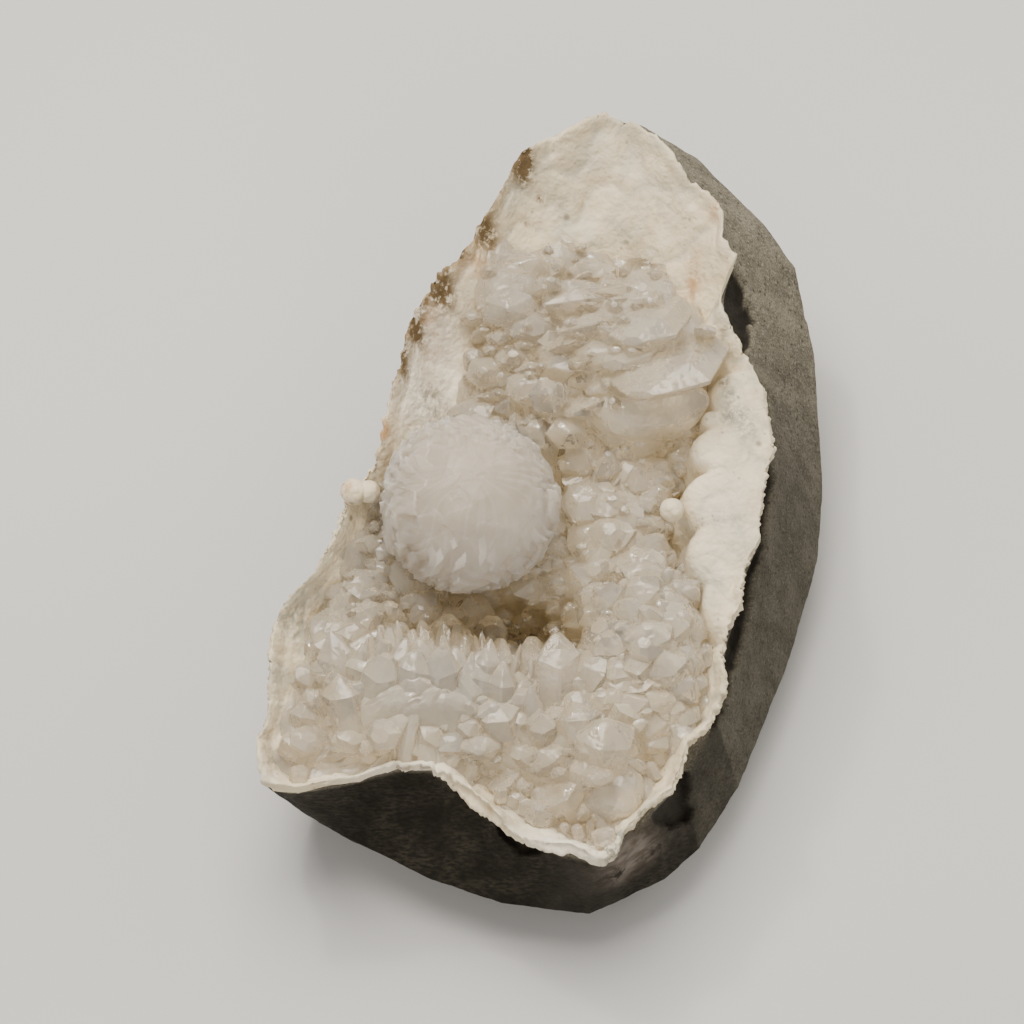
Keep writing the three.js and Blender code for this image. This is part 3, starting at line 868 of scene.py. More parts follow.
class BasaltFinish(Finish):
    """Speckled grey rock with saw marks, dark where it is freshly broken, chalky in one vein, with painted
    shade on the near wall, low on the right wall and in the hollows under the rim.
    """

    name = "sawn basalt"
    gloss = Gloss(ior=1.25)
    light = (0.21, 0.186, 0.138)
    dark = (0.115, 0.101, 0.074)
    # near, near_light: the near wall's dark cut stone, made darker still as painted shade
    near = (0.012, 0.0104, 0.0072)
    # dark of the broken rock, deepened as painted shade in the hollows
    fresh = (0.018, 0.0155, 0.012)
    chalk = (0.21, 0.178, 0.15)
    scratch = (0.31, 0.285, 0.225)
    gouge = (0.03, 0.026, 0.02)
    pale_grain = (0.36, 0.335, 0.27)
    dark_grain = (0.035, 0.032, 0.024)
    feldspar = (0.4, 0.37, 0.3)
    ore = (0.03, 0.027, 0.02)
    shadow = (0.03, 0.0275, 0.021)
    near_light = (0.042, 0.036, 0.025)
    fresh_light = (0.034, 0.03, 0.023)
    vein_dark = (0.1, 0.08, 0.06)

    def paint(self, w: Wiring, at: Any) -> tuple[Any, Any, list[tuple[Any, float]]]:
        """Cloudy grey with fine saw lines across it, then the darker patches, which are painted shade on the
        near wall, low on the right wall and in the hollows, and the chalky patches.
        """
        long = w.add("ShaderNodeMapping", {"Vector": at, "Scale": (0.7, 1.0, 0.4)}).outputs[0]
        clouds = w.noise(long, 2.6, Detail=5.0, Roughness=0.6)
        tone = w.ramp(clouds, 0.3, 0.7)
        body = w.blend(tone, self.dark, self.light)
        turned = w.add("ShaderNodeMapping", {"Vector": at, "Rotation": (-0.45, 0.0, 0.0)}).outputs[0]
        drawn = w.add("ShaderNodeMapping", {"Vector": turned, "Scale": (0.35, 1.0, 0.22)}).outputs[0]
        lines = w.noise(drawn, 0.3, Detail=2.0, Roughness=0.6)
        here = w.sum("MULTIPLY", w.kept("sawn"), w.ramp(w.noise(at, 5.0, Detail=2.0), 0.35, 0.6))
        marks = w.sum("MULTIPLY", w.ramp(lines, 0.5, 0.68), here)
        body = w.blend(w.sum("MULTIPLY", marks, 0.4), body, self.scratch)
        pits = w.sum("MULTIPLY", w.ramp(lines, 0.42, 0.3), here)
        body = w.blend(w.sum("MULTIPLY", pits, 0.65), body, self.gouge)
        salt = w.noise(at, 0.22, Detail=3.0, Roughness=0.8)
        body = w.blend(w.sum("MULTIPLY", w.ramp(salt, 0.5, 0.66), 0.55), body, self.pale_grain)
        body = w.blend(w.sum("MULTIPLY", w.ramp(salt, 0.48, 0.34), 0.7), body, self.dark_grain)
        pale = self.group(w, self.effects.specks, at, 1900.0, 0.25)
        body = w.blend(w.sum("MULTIPLY", pale, 0.5), body, self.feldspar)
        black = self.group(w, self.effects.specks, at, 1400.0, 0.25)
        body = w.blend(w.sum("MULTIPLY", black, 0.7), body, self.ore)
        # painted shade: the right wall darkens towards its near end, where less light falls
        body = w.blend(w.sum("MULTIPLY", w.kept("wall_painted_shade"), 0.58), body, self.shadow)
        broken = w.sum("MULTIPLY", tone, w.ramp(lines, 0.3, 0.7))
        # painted shade: the near wall, dark stone of its own, is darkened further to near black
        body = w.blend(w.kept("near"), body, w.blend(broken, self.near, self.near_light))
        # painted shade: the broken hollows under the rim, and a patch of the near wall, go near black, darker
        # than the broken rock itself
        hollow = w.blend(tone, self.fresh, self.fresh_light)
        body = w.blend(w.ramp(w.kept("fresh"), 0.2, 0.8), body, hollow)
        veins = w.noise(at, 3.0, Detail=4.0, Roughness=0.6)
        vein = w.sum("MULTIPLY", w.kept("vein"), w.ramp(veins, 0.34, 0.5), clamp=True)
        leaning = w.add("ShaderNodeMapping", {"Vector": at, "Rotation": (0.0, 0.0, -0.7)}).outputs[0]
        long_way = w.add("ShaderNodeMapping", {"Vector": leaning, "Scale": (0.25, 1.0, 0.6)}).outputs[0]
        streaks = w.ramp(w.noise(long_way, 0.9, Detail=3.0, Roughness=0.65), 0.36, 0.64)
        body = w.blend(vein, body, w.blend(streaks, self.vein_dark, self.chalk))
        rough = w.ramp(clouds, 0.2, 0.8, (0.92, 0.72))
        tooth = self.group(w, self.effects.grain, at, 1800.0, 1.0)
        return body, rough, [(tooth, 0.16), (lines, 0.06)]


class RindFinish(Finish):
    """Chalky cream lining with faint grey-green clouding and brown and orange stains."""

    name = "chalky rind"
    gloss = Gloss(ior=1.45)
    cream = (0.84, 0.725, 0.505)
    warm = (0.73, 0.605, 0.4)
    grey = (0.49, 0.455, 0.36)
    brown = (0.15, 0.1, 0.045)
    tan = (0.42, 0.3, 0.16)
    rust = (0.5, 0.25, 0.085)
    cloud = (0.56, 0.53, 0.43)
    chalk = (0.95, 0.86, 0.7)
    smudge = (0.34, 0.325, 0.255)
    speck = (0.2, 0.17, 0.12)
    dot = (0.12, 0.1, 0.07)

    def paint(self, w: Wiring, at: Any) -> tuple[Any, Any, list[tuple[Any, float]]]:
        """Cream that clouds to warm, greyed in the creases as painted shade, then the stains, broken up by
        finer noise.
        """
        clouds = w.noise(at, 5.0, Detail=3.0, Roughness=0.6)
        body = w.blend(w.ramp(clouds, 0.42, 0.68), self.cream, self.warm)
        crease_shade = w.kept("crease_shade")
        # painted shade: the creases between the pillows are greyed, partly the rind's own grey and partly
        # shade
        body = w.blend(w.sum("MULTIPLY", crease_shade, 0.65), body, self.grey)
        haze = w.noise(at, 4.5, Detail=3.0, Roughness=0.6)
        body = w.blend(w.sum("MULTIPLY", w.ramp(haze, 0.46, 0.66), 0.5), body, self.cloud)
        # whiter chalk; on the left band it is also painted light, lifting a slope that faces away from the
        # key lamp
        body = w.blend(w.sum("MULTIPLY", w.kept("white"), 0.9), body, self.chalk)
        patches = w.noise(at, 1.6, Detail=3.0, Roughness=0.7)
        mottle = w.noise(at, 0.8, Detail=3.0, Roughness=0.75)
        shade = w.sum("MULTIPLY", w.kept("shade"), w.ramp(mottle, 0.36, 0.62), clamp=True)
        body = w.blend(shade, body, self.smudge)
        rust = w.sum("MULTIPLY", w.kept("rust"), w.ramp(patches, 0.34, 0.6), clamp=True)
        body = w.blend(rust, body, self.rust)
        edge = w.sum("MULTIPLY", w.kept("tan"), w.ramp(patches, 0.3, 0.55), clamp=True)
        body = w.blend(edge, body, self.tan)
        stain = w.sum("MULTIPLY", w.kept("stain"), w.ramp(mottle, 0.32, 0.56), clamp=True)
        body = w.blend(stain, body, self.brown)
        tiny = self.group(w, self.effects.specks, at, 1700.0, 0.05)
        body = w.blend(w.sum("MULTIPLY", tiny, 0.5), body, self.speck)
        dots = self.group(w, self.effects.specks, at, 750.0, 0.02)
        body = w.blend(w.sum("MULTIPLY", dots, 0.65), body, self.dot)
        rough = w.ramp(clouds, 0.2, 0.8, (0.72, 0.9))
        tooth = self.group(w, self.effects.grain, at, 1500.0, 1.0)
        lumps = w.noise(at, 1.1, Detail=2.0, Roughness=0.6)
        return body, rough, [(lumps, 0.22), (tooth, 0.16)]


class QuartzFinish(Finish):
    """Milky quartz: cream to clear at the tips, smoky brown where it is deep or hemmed in, partly its own
    colour and partly painted shade.
    """

    name = "milky quartz"
    gloss = Gloss(ior=1.54, transmission=0.72)
    milk = (0.95, 0.865, 0.715)
    clear = (0.97, 0.9, 0.77)
    white = (0.99, 0.95, 0.86)
    smoke_and_shade = (0.33, 0.265, 0.17)
    ochre_and_shade = (0.69, 0.59, 0.42)
    veil = (0.99, 0.95, 0.88)
    rust = (0.62, 0.36, 0.16)
    dot = (0.16, 0.12, 0.08)

    def paint(self, w: Wiring, at: Any) -> tuple[Any, Any, list[tuple[Any, float]]]:
        """Milk that clears to the tips, then browner by depth and between crystals, partly smoky colour and
        partly painted shade, with faint inner clouds.
        """
        clouds = w.noise(at, 2.2, Detail=3.0, Roughness=0.65)
        body = w.blend(w.ramp(clouds, 0.35, 0.68), self.milk, self.clear)
        veils = w.noise(at, 0.7, Detail=3.0, Roughness=0.7)
        body = w.blend(w.sum("MULTIPLY", w.ramp(veils, 0.52, 0.68), 0.5), body, self.veil)
        body = w.blend(w.sum("MULTIPLY", w.kept("white"), 0.85), body, self.white)
        # painted shade: deep in the pit and low between crystals the quartz turns ochre, then smoky brown,
        # partly its own smoky colour and partly shade
        deep = w.kept("deep")
        uneven = w.sum("MULTIPLY", deep, w.ramp(clouds, 0.2, 0.7, (0.7, 1.25)))
        body = w.blend(w.ramp(uneven, 0.12, 0.6), body, self.ochre_and_shade)
        body = w.blend(w.ramp(uneven, 0.5, 1.05), body, self.smoke_and_shade)
        hot = w.sum("MULTIPLY", w.kept("rust"), w.ramp(clouds, 0.3, 0.6), clamp=True)
        body = w.blend(hot, body, self.rust)
        dots = self.group(w, self.effects.specks, at, 600.0, 0.03)
        body = w.blend(w.sum("MULTIPLY", dots, 0.5), body, self.dot)
        frost = w.noise(at, 1.1, Detail=2.0)
        rough = w.ramp(frost, 0.38, 0.66, (0.03, 0.2))
        growth, broad = (
            w.add(
                "ShaderNodeTexVoronoi", {"Vector": at, "Scale": 1 / (size_mm * MM)},
                feature="F1", distance="CHEBYCHEV",
            ).outputs["Distance"]
            for size_mm in (0.9, 2.4)
        )
        return body, rough, [(broad, 0.12), (growth, 0.09)]


class BallFinish(Finish):
    """Milky goosecreekite: pale lavender-grey with faint streaks that run out from its middle."""

    name = "milky goosecreekite"
    gloss = Gloss(ior=1.4, transmission=0.0, subsurface=0.95, depth_mm=8.0)
    pale = (0.465, 0.407, 0.332)
    deep = (0.43, 0.372, 0.3)
    painted_light = (0.68, 0.62, 0.54)
    crease_shade = (0.46, 0.4, 0.335)
    streak = (0.62, 0.57, 0.51)
    # colour of the painted glints
    edge = (0.86, 0.82, 0.76)

    def paint(self, w: Wiring, at: Any) -> tuple[Any, Any, list[tuple[Any, float]]]:
        """Even milk, a little deeper in the creases between crystal ends as painted shade, set off along the
        streaks, lightened on the lower right as painted light, with painted glints.
        """
        clouds = w.noise(at, 4.0, Detail=2.0)
        body = w.blend(w.ramp(clouds, 0.35, 0.7), self.pale, self.deep)
        # painted light: the ball's lower right, turned from the key lamp, is lightened
        body = w.blend(w.sum("MULTIPLY", w.kept("painted_light_side"), 0.55), body, self.painted_light)
        # painted shade, faint: the creases between crystal ends are a touch darker
        body = w.blend(w.sum("MULTIPLY", w.kept("crease_shade"), 0.15), body, self.crease_shade)
        streaks = w.kept("streak")
        body = w.blend(w.sum("MULTIPLY", streaks, 0.2), body, self.streak)
        # painted highlight: glints on the left edges and on single blades at the lower left, near white and
        # smoother
        painted_glint = w.kept("painted_glint")
        body = w.blend(w.sum("MULTIPLY", painted_glint, 0.7), body, self.edge)
        rough = w.ramp(w.sum("SUBTRACT", clouds, painted_glint), 0.0, 0.7, (0.18, 0.5))
        tooth = self.group(w, self.effects.grain, at, 1500.0, 1.0)
        return body, rough, [(tooth, 0.04)]


class FloorFinish(Finish):
    """Plain pale floor with a faint tooth."""

    name = "pale floor"

    def paint(self, w: Wiring, at: Any) -> tuple[Any, Any, list[tuple[Any, float]]]:
        """A pale grey that hardly varies."""
        soft = w.noise(at, 60.0, Detail=0.0)
        body = w.blend(w.ramp(soft, 0.3, 0.7), (0.62, 0.615, 0.6), (0.66, 0.655, 0.64))
        return body, w.ramp(soft, 0.2, 0.8, (0.7, 0.8)), []


@dataclass
class Piece:
    """One physical piece of the specimen, dressed in place of its solid."""

    form: StoneForm
    finish: Finish
    name: str = "piece"
    node: str = "node"
    slot: str = "slot"
    crisp_deg: float = 180.0

    def build(self) -> bpy.types.Mesh:
        """The finished mesh in the solids' frame. Each kind has its own."""
        raise NotImplementedError

    def make(self) -> bpy.types.Object:
        """Builds the piece, dresses it and lets it stand for its solid.

        Returns:
            The object.
        """
        mesh = self.build()
        mesh.polygons.foreach_set("use_smooth", np.ones(len(mesh.polygons), bool))
        if self.crisp_deg < 180:
            mesh.set_sharp_from_angle(angle=math.radians(self.crisp_deg))
        mesh.materials.clear()
        mesh.materials.append(self.finish.material())
        made = bpy.data.objects.new(self.name, mesh)
        bpy.context.scene.collection.objects.link(made)
        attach(made, "root")
        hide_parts(self.node)
        mesh.calc_loop_triangles()
        log.info("%s: %d triangles", self.name, len(mesh.loop_triangles))
        return made


@dataclass(frozen=True)
class Notch:
    """A hollow broken out below the rim: its middle, its reach, its share of the wall's height."""

    x: float
    y: float
    reach_x: float
    reach_y: float
    down: float


@dataclass
class BasaltRock(Piece):
    """The grey rock: sawn on the right, rougher on the left, broken off under parts of the rim."""

    name: str = "basalt_rock"
    node: str = "basalt_matrix"
    slot: str = "basalt"
    around: int = 720
    foot_height: float = 2.2
    foot_flare: float = 1.06
    notches: tuple[Notch, ...] = (
        Notch(22.0, 25.6, 4.0, 5.2, 0.27), Notch(25.2, 14.7, 4.0, 2.0, 0.2),
        Notch(25.2, 0.0, 5.0, 9.4, 0.13), Notch(22.2, -15.5, 5.0, 8.2, 0.17),
        Notch(16.6, -31.6, 3.8, 2.9, 0.55), Notch(-4.5, -36.0, 4.4, 2.4, 0.2),
        Notch(20.6, 32.0, 3.0, 3.2, 0.07), Notch(-12.0, 27.0, 4.0, 6.0, 0.1),
        Notch(-24.5, -5.0, 4.0, 4.0, 0.12),
    )
    veins: tuple[Spot, ...] = (Spot(11.4, -36.9, 4.4, 2.3, 1.7), Spot(16.2, -35.6, 1.5, 2.8, 1.4))
    # a patch of the near wall that is darkened as painted shade
    darkest: Spot = Spot(5.0, -41.0, 7.0, 4.5, 1.0)

    def _stations(self, angle: np.ndarray) -> list[tuple[np.ndarray, int]]:
        """Rings of points that the skin runs through, with the number of bands before each.

        Args:
            angle: Angles round the pole.

        Returns:
            Points by angle, and a number of bands, from the pocket out, down and under.
        """
        form = self.form
        rim = form.rim.cross(angle)[0]
        stations = []
        for share, bands in ((0.25, 1), (0.5, 3), (0.75, 4), (0.9, 4), (0.985, 3)):
            x, y = form.place(angle, rim * share)
            stations.append((np.stack([x, y, form.rind_bottom(x, y, share) - 0.08], -1), bands))
        x, y = form.place(angle, form.shoulder.cross(angle)[0])
        stations.append((np.stack([x, y, form.face(y) - form.rind_edge - 1.6], -1), 4))
        far, height = form.belt.cross(angle)
        x, y = form.place(angle, far)
        stations.append((np.stack([x, y, height], -1), 50))
        base = form.base.cross(angle)[0]
        x, y = form.place(angle, base * self.foot_flare)
        stations.append((np.stack([x, y, np.full_like(x, self.foot_height)], -1), 20))
        for share, bands in ((1.0, 3), (0.97, 1), (0.4, 4), (0.1, 1)):
            x, y = form.place(angle, base * share)
            stations.append((np.stack([x, y, np.zeros_like(x)], -1), bands))
        return stations

    def build(self) -> bpy.types.Mesh:
        """Straight bands between the stations, moved along their normals by the rock's relief."""
        angle = np.arange(self.around) / self.around * TAU
        stations = self._stations(angle)
        rings = [stations[0][0][None]]
        down = [np.zeros(1)]
        for k, (ring, bands) in enumerate(stations[1:], 1):
            t = (np.arange(bands) + 1) / bands
            before = stations[k - 1][0]
            rings.append(before + t[:, None, None] * (ring - before))
            down.append(k - 1 + t)
        grid = np.concatenate(rings)
        place = np.concatenate(down)[:, None] * np.ones(self.around)
        wall = smooth_step(4.0, 5.2, place) * (1 - smooth_step(7.0, 8.0, place))
        normal = ring_normals(grid)
        grid, values = self._relief(grid, normal, place, wall)
        top = np.array([*POLE, self.form.rind_bottom(*POLE[:, None], 0.0)[0]])
        surface = skin(grid, top, np.array([*POLE, 0.0]))
        surface.values = {k: np.concatenate([v[0, :1], v.ravel(), v[-1, :1]]) for k, v in values.items()}
        return surface.mesh(self.name)

    def _relief(
        self, grid: np.ndarray, normal: np.ndarray, place: np.ndarray, wall: np.ndarray
    ) -> tuple[np.ndarray, dict[str, np.ndarray]]:
        """Saw-flat on the right, lumpy on the left and far sides, hollow below parts of the rim.

        Args:
            grid: Points by ring and angle.
            normal: Outward directions.
            place: How many stations have been passed.
            wall: 1 on the side walls, 0 in the pocket and on the flat back.

        Returns:
            The moved points, and the values that the finish reads.
        """
        clouds = Clouds(3)
        x, y = grid[..., 0], grid[..., 1]
        right = smooth_step(0.05, 0.35, normal[..., 0] + 0.15 * smooth_step(-20, 30, y))
        toward = smooth_step(0.25, 0.75, -normal[..., 1])
        sawn = np.maximum(right, toward)
        lumps = 0.5 * clouds.layered(grid, 6.0, 5)
        level = 3.5 * clouds.layered(grid + 60, 9.0, 4)
        whole = np.floor(level)
        chips = 0.42 * (whole + smooth_step(0.3, 0.6, level - whole)) * (1 - sawn)
        calm = 1 - 0.75 * right
        fine = 0.1 * clouds.layered(grid, 1.4, 3)
        ridge = np.exp(-(((place - 6.0) / 0.05) ** 2)) + np.exp(-(((place - 7.0) / 0.1) ** 2))
        nicks = -0.35 * ridge * smooth_step(0.0, 0.5, clouds.layered(grid + 40, 2.6, 3)) * calm
        ragged = clouds.layered(grid + 80, 3.2, 3)
        reach = np.zeros_like(x)
        for notch in self.notches:
            far = ((x - notch.x) / notch.reach_x) ** 2 + ((y - notch.y) / notch.reach_y) ** 2
            reach += notch.down * np.exp(-(far**2))
        bitten = smooth_step(0.0, 0.07, reach * (1 + 0.8 * ragged) - (place - 5))
        bitten = bitten * smooth_step(0.015, 0.05, reach) * smooth_step(4.3, 4.9, place)
        move = (lumps * (1.2 - sawn) + chips + nicks) * wall * smooth_step(5.02, 5.5, place) + fine * wall
        out = grid + normal * move[..., None]
        inward = np.stack([-(x - POLE[0]), -(y - POLE[1]), np.zeros_like(x)], -1)
        out += unit(inward) * (0.9 * bitten)[..., None]
        out[..., 2] -= bitten * 1.2
        vein = sum(spot.at(x, y) for spot in self.veins)
        values = {
            "sawn": sawn * wall,
            # near wall mask, which the finish uses for painted shade
            "near": toward * wall,
            # hollows and the darkest patch of the near wall, for painted shade over the broken rock
            "fresh": np.maximum(bitten, np.clip(self.darkest.at(x, y), 0, 0.7) * toward * wall),
            # painted shade on the right wall, stronger towards the near end
            "wall_painted_shade": wall * smooth_step(32, 4, y) * right,
            "vein": np.clip(vein, 0, 1) * (1 - smooth_step(5.3, 5.8, place)),
        }
        return out, values


@dataclass
class ChalkRind(Piece):
    """The white lining: pillowed where it shows wide, with a crinkled rim, knobs and pearls."""

    name: str = "chalk_rind"
    node: str = "white_rind"
    slot: str = "rind"
    around: int = 960
    brown_stains: tuple[Spot, ...] = (
        Spot(-2.3, 39.6, 1.3, 1.9, 1.9), Spot(-6.2, 31.9, 1.5, 2.2, 1.1), Spot(-11.6, 25.4, 1.9, 2.2, 1.5),
        Spot(-14.2, 20.7, 1.1, 1.4, 1.3), Spot(-15.6, 16.8, 0.8, 2.0, 0.9), Spot(-0.3, 36.9, 0.35, 0.35, 1.4),
        Spot(-1.8, 34.4, 0.35, 0.35, 1.2), Spot(-29.6, -27.0, 1.0, 1.2, 0.7), Spot(20.2, 14.8, 0.8, 0.8, 0.8),
    )
    rust_stains: tuple[Spot, ...] = (
        Spot(-17.8, 9.0, 0.9, 2.4, 0.9), Spot(16.9, 28.0, 0.9, 2.6, 0.8), Spot(19.7, 34.1, 1.2, 1.0, 0.6),
        Spot(-22.0, 2.0, 0.8, 0.8, 1.2), Spot(-7.4, 29.6, 2.2, 2.6, 0.7), Spot(-13.0, 22.6, 1.4, 3.4, 0.6),
    )
    grey_shades: tuple[Spot, ...] = (
        Spot(-12.4, 14.2, 2.0, 2.6, 0.9), Spot(20.9, 13.2, 0.9, 0.9, 1.2), Spot(21.1, 11.0, 2.0, 1.4, 0.95),
        Spot(22.8, 9.0, 1.4, 1.6, 0.9), Spot(20.6, -1.0, 2.4, 1.2, 0.5), Spot(22.4, -5.0, 1.6, 2.4, 0.5),
        Spot(-27.6, -11.2, 2.8, 2.2, 0.9), Spot(3.0, 37.0, 3.2, 1.4, 0.45),
        Spot(12.0, 36.4, 3.0, 1.6, 0.4), Spot(-4.5, 35.5, 1.8, 1.2, 0.5), Spot(8.8, -37.4, 1.7, 1.5, 4.0),
    )

    # whiter chalk, and on the left band painted light as well
    whitest_and_lit: tuple[Spot, ...] = (
        Spot(-13.0, 17.0, 4.5, 8.0, 1.4), Spot(2.5, -37.0, 5.5, 3.0, 1.3), Spot(-17.0, -28.5, 12.0, 2.0, 0.8),
        Spot(20.0, 0.0, 4.0, 9.0, 0.5),
    )
    roll: Spot = Spot(2.6, -37.4, 4.2, 2.6, 1.0)
    shelf: Spot = Spot(-8.0, -31.4, 5.0, 3.4, 1.0)

    def _rim(self, angle: np.ndarray) -> np.ndarray:
        """Distance to the rim: its straight edges plus crinkles of 3 mm and 1 mm.

        Args:
            angle: Angles round the pole.

        Returns:
            Distances from the pole.
        """
        clouds = Clouds(11)
        rim = self.form.rim.cross(angle)[0]
        x, y = self.form.place(angle, rim)
        edge = np.stack([x, y, np.zeros_like(x)], -1)
        wavy = 0.26 + 0.35 * smooth_step(-18, -28, y) * smooth_step(6, 10, x)
        return rim + wavy * clouds.smooth(edge, 2.6) + 0.2 * clouds.smooth(edge, 0.9) - 0.15

    def _bumps(self, x: np.ndarray, y: np.ndarray, low: np.ndarray) -> np.ndarray:
        """Height with the mounds: the higher of the rind and each flat cap, softly blended.

        Args:
            x: Places across the face.
            y: Places along it.
            low: Height of the rind without mounds.

        Returns:
            Heights.
        """
        soft = 0.9
        for mound in MOUNDS:
            far = np.hypot((x - mound.x) / mound.reach_x, (y - mound.y) / mound.reach_y)
            fall = 3.6 * (1 - np.sqrt(np.maximum(1 - far**7, 0))) + 14 * np.maximum(far - 1, 0)
            cap = self.form.face(np.array(mound.y)) + FACE_SLOPE * (y - mound.y) + mound.level - fall
            gap = np.clip((cap - low) / soft, -1, 1)
            low = np.where(gap > 0, cap, low) + 0.25 * soft * (1 - np.abs(gap)) ** 2
        return low

    def build(self) -> bpy.types.Mesh:
        """The top by rings of shares, a rounded crinkled edge, then the underside, and pearls."""
        clouds = Clouds(5)
        form = self.form
        angle = np.arange(self.around) / self.around * TAU
        rim = self._rim(angle)
        shares = np.concatenate([np.linspace(0.2, 0.56, 7), np.linspace(0.6, 1.0, 62)])
        x, y = form.place(angle, rim * shares[:, None])
        base = np.stack([x, y, form.face(y)], -1)
        warped = base + 0.9 * np.stack([clouds.smooth(base + k * 31, 5.0) for k in range(3)], -1)
        pillow = clouds.pillows(warped, 5.2)
        small = clouds.pillows(warped + 50, 2.1)
        grit = clouds.layered(base, 0.9, 3)
        relief = 1.35 * pillow + 0.4 * small + 0.14 * grit - 0.7
        around = np.stack([28 * angle + 0 * x, (rim * (1 - shares[:, None])) / 3.5, 0 * x], -1)
        pleats = 0.34 * clouds.smooth(around, 1.0) * smooth_step(0.9, 0.99, shares[:, None])
        inset = rim * (1 - shares[:, None])
        lip = 0.5 + 0.5 * clouds.layered(base + 90, 3.0, 3)
        raised = 0.45 * np.exp(-(((inset - 0.5) / 0.45) ** 2))
        groove = 0.4 * np.exp(-(((inset - 1.5) / 0.35) ** 2))
        pleats += lip * (raised - groove)
        roll = 1.1 * self.roll.at(x, y) * np.exp(-(((inset - 1.2) / 1.3) ** 2))
        low = form.rind_top(x, y) + roll + (relief + pleats) * smooth_step(0.5, 0.7, shares[:, None])
        high = self._bumps(x, y, low)
        covered = smooth_step(0.0, 0.8, high - low)
        high = high + covered * (0.55 * pillow + 0.25 * small + 0.1 * grit - 0.3)
        upper = np.stack([x, y, high], -1)
        edge = self._edge(angle, rim, upper[-1])
        under_shares = np.array([0.985, 0.93, 0.85, 0.7, 0.5, 0.25])[:, None]
        ux, uy = form.place(angle, form.rim.cross(angle)[0] * under_shares)
        under = np.stack([ux, uy, form.rind_bottom(ux, uy, under_shares)], -1)
        rings = np.concatenate([upper, edge, under])
        top = np.array([*POLE, form.rind_top(*POLE[:, None])[0]])
        bottom = np.array([*POLE, form.rind_bottom(*POLE[:, None], 0.0)[0]])
        surface = skin(rings, top, bottom)
        # crease mask for painted shade in the creases between pillows
        crease_shade = 1 - smooth_step(0.02, 0.42, pillow * 0.8 + small * 0.3)
        plain = np.zeros((len(edge) + len(under), self.around))
        surface.values = self._values(surface.points, np.concatenate([crease_shade, plain]))
        pearls = [self._pearl(knob, k) for k, knob in enumerate(PEARLS)]
        return Surface.joined([surface, *pearls]).mesh(self.name)

    def _edge(self, angle: np.ndarray, rim: np.ndarray, top: np.ndarray) -> np.ndarray:
        """The cut edge: it bulges by half a sine, with ledges and crinkles along it.

        Args:
            angle: Angles round the pole.
            rim: Distance to the rim.
            top: The last ring of the top.

        Returns:
            Points by ring and angle, going down.
        """
        clouds = Clouds(8)
        t = np.linspace(0, 1, 12)[1:, None]
        roll = self.roll.at(top[:, 0], top[:, 1])
        shelf = self.shelf.at(top[:, 0], top[:, 1])
        thick = self.form.rind_edge * (1.0 + 0.35 * clouds.smooth(top, 4.0) + 0.5 * roll + 0.6 * shelf)
        z = top[:, 2] - thick * t
        x, y = self.form.place(angle, rim + 0 * t)
        spot = np.stack([x, y, 1.6 * z], -1)
        crinkle = clouds.layered(spot, 1.1, 3) + 0.5 * clouds.pillows(spot, 0.7)
        ledge = 0.3 * np.sin(t * 3 * math.pi + 3 * clouds.smooth(top, 6.0)) * (0.4 + 0.6 * (top[:, 1] < -18))
        out = 0.3 * np.sin(t * math.pi * 0.8) + 0.6 * crinkle + ledge - 0.5 * t**3 - 0.25
        out = out + 0.45 * roll * np.sin(t * math.pi)
        out = out + 0.9 * shelf * smooth_step(0.4, 0.6, t) - 0.35 * shelf * np.exp(-(((t - 0.38) / 0.1) ** 2))
        x, y = self.form.place(angle, rim + out)
        return np.stack([x, y, z], -1)

    def _values(self, points: np.ndarray, crease_shade: np.ndarray) -> dict[str, np.ndarray]:
        """Stains by their spots, and a brown line along the left edge of the face.

        Args:
            points: The surface's points.
            crease_shade: Painted shade in the creases, by ring and angle, without the two end points.

        Returns:
            Values at the points.
        """
        x, y = points[:, 0], points[:, 1]
        angle, far = self.form.polar(x, y)
        inset = self.form.rim.cross(angle)[0] - far
        left = smooth_step(0.5, -3.0, x) * smooth_step(10, 18, y) * smooth_step(43, 38, y)
        line = left * np.exp(-((np.maximum(inset, 0) / 1.0) ** 2))
        return {
            "stain": np.clip(sum(s.at(x, y) for s in self.brown_stains) + 0.25 * line, 0, 1.6),
            "tan": 1.1 * line,
            "rust": np.clip(sum(s.at(x, y) for s in self.rust_stains), 0, 1.2),
            "shade": np.clip(sum(s.at(x, y) for s in self.grey_shades), 0, 1.2),
            "white": np.clip(sum(s.at(x, y) for s in self.whitest_and_lit), 0, 1),
            "crease_shade": np.concatenate([[0.0], crease_shade.ravel(), [0.0]]),
        }

    def _pearl(self, knob: Knob, number: int) -> Surface:
        """A pearl: a ball whose radius swells and dips by 6 percent.

        Args:
            knob: Its place and size.
            number: Sets its lumps apart from the others'.

        Returns:
            The closed surface.
        """
        ball = ball_grid(12)
        middle = np.array([knob.x, knob.y, self.form.face(np.array(knob.y)) + knob.level])
        swell = 1 + 0.06 * Clouds(20 + number).smooth(ball.points, 0.8)
        ball.points = middle + ball.points * (knob.radius * swell)[:, None]
        ball.values = self._values(ball.points, np.zeros((1, len(ball.points) - 2)))
        return ball


@dataclass(frozen=True)
class CrystalSet:
    """Crystals all over: number, half widths and lengths from and to, lean, stray and seed."""

    count: int
    half: tuple[float, float]
    length: tuple[float, float]
    lean: float
    stray: float
    seed: int


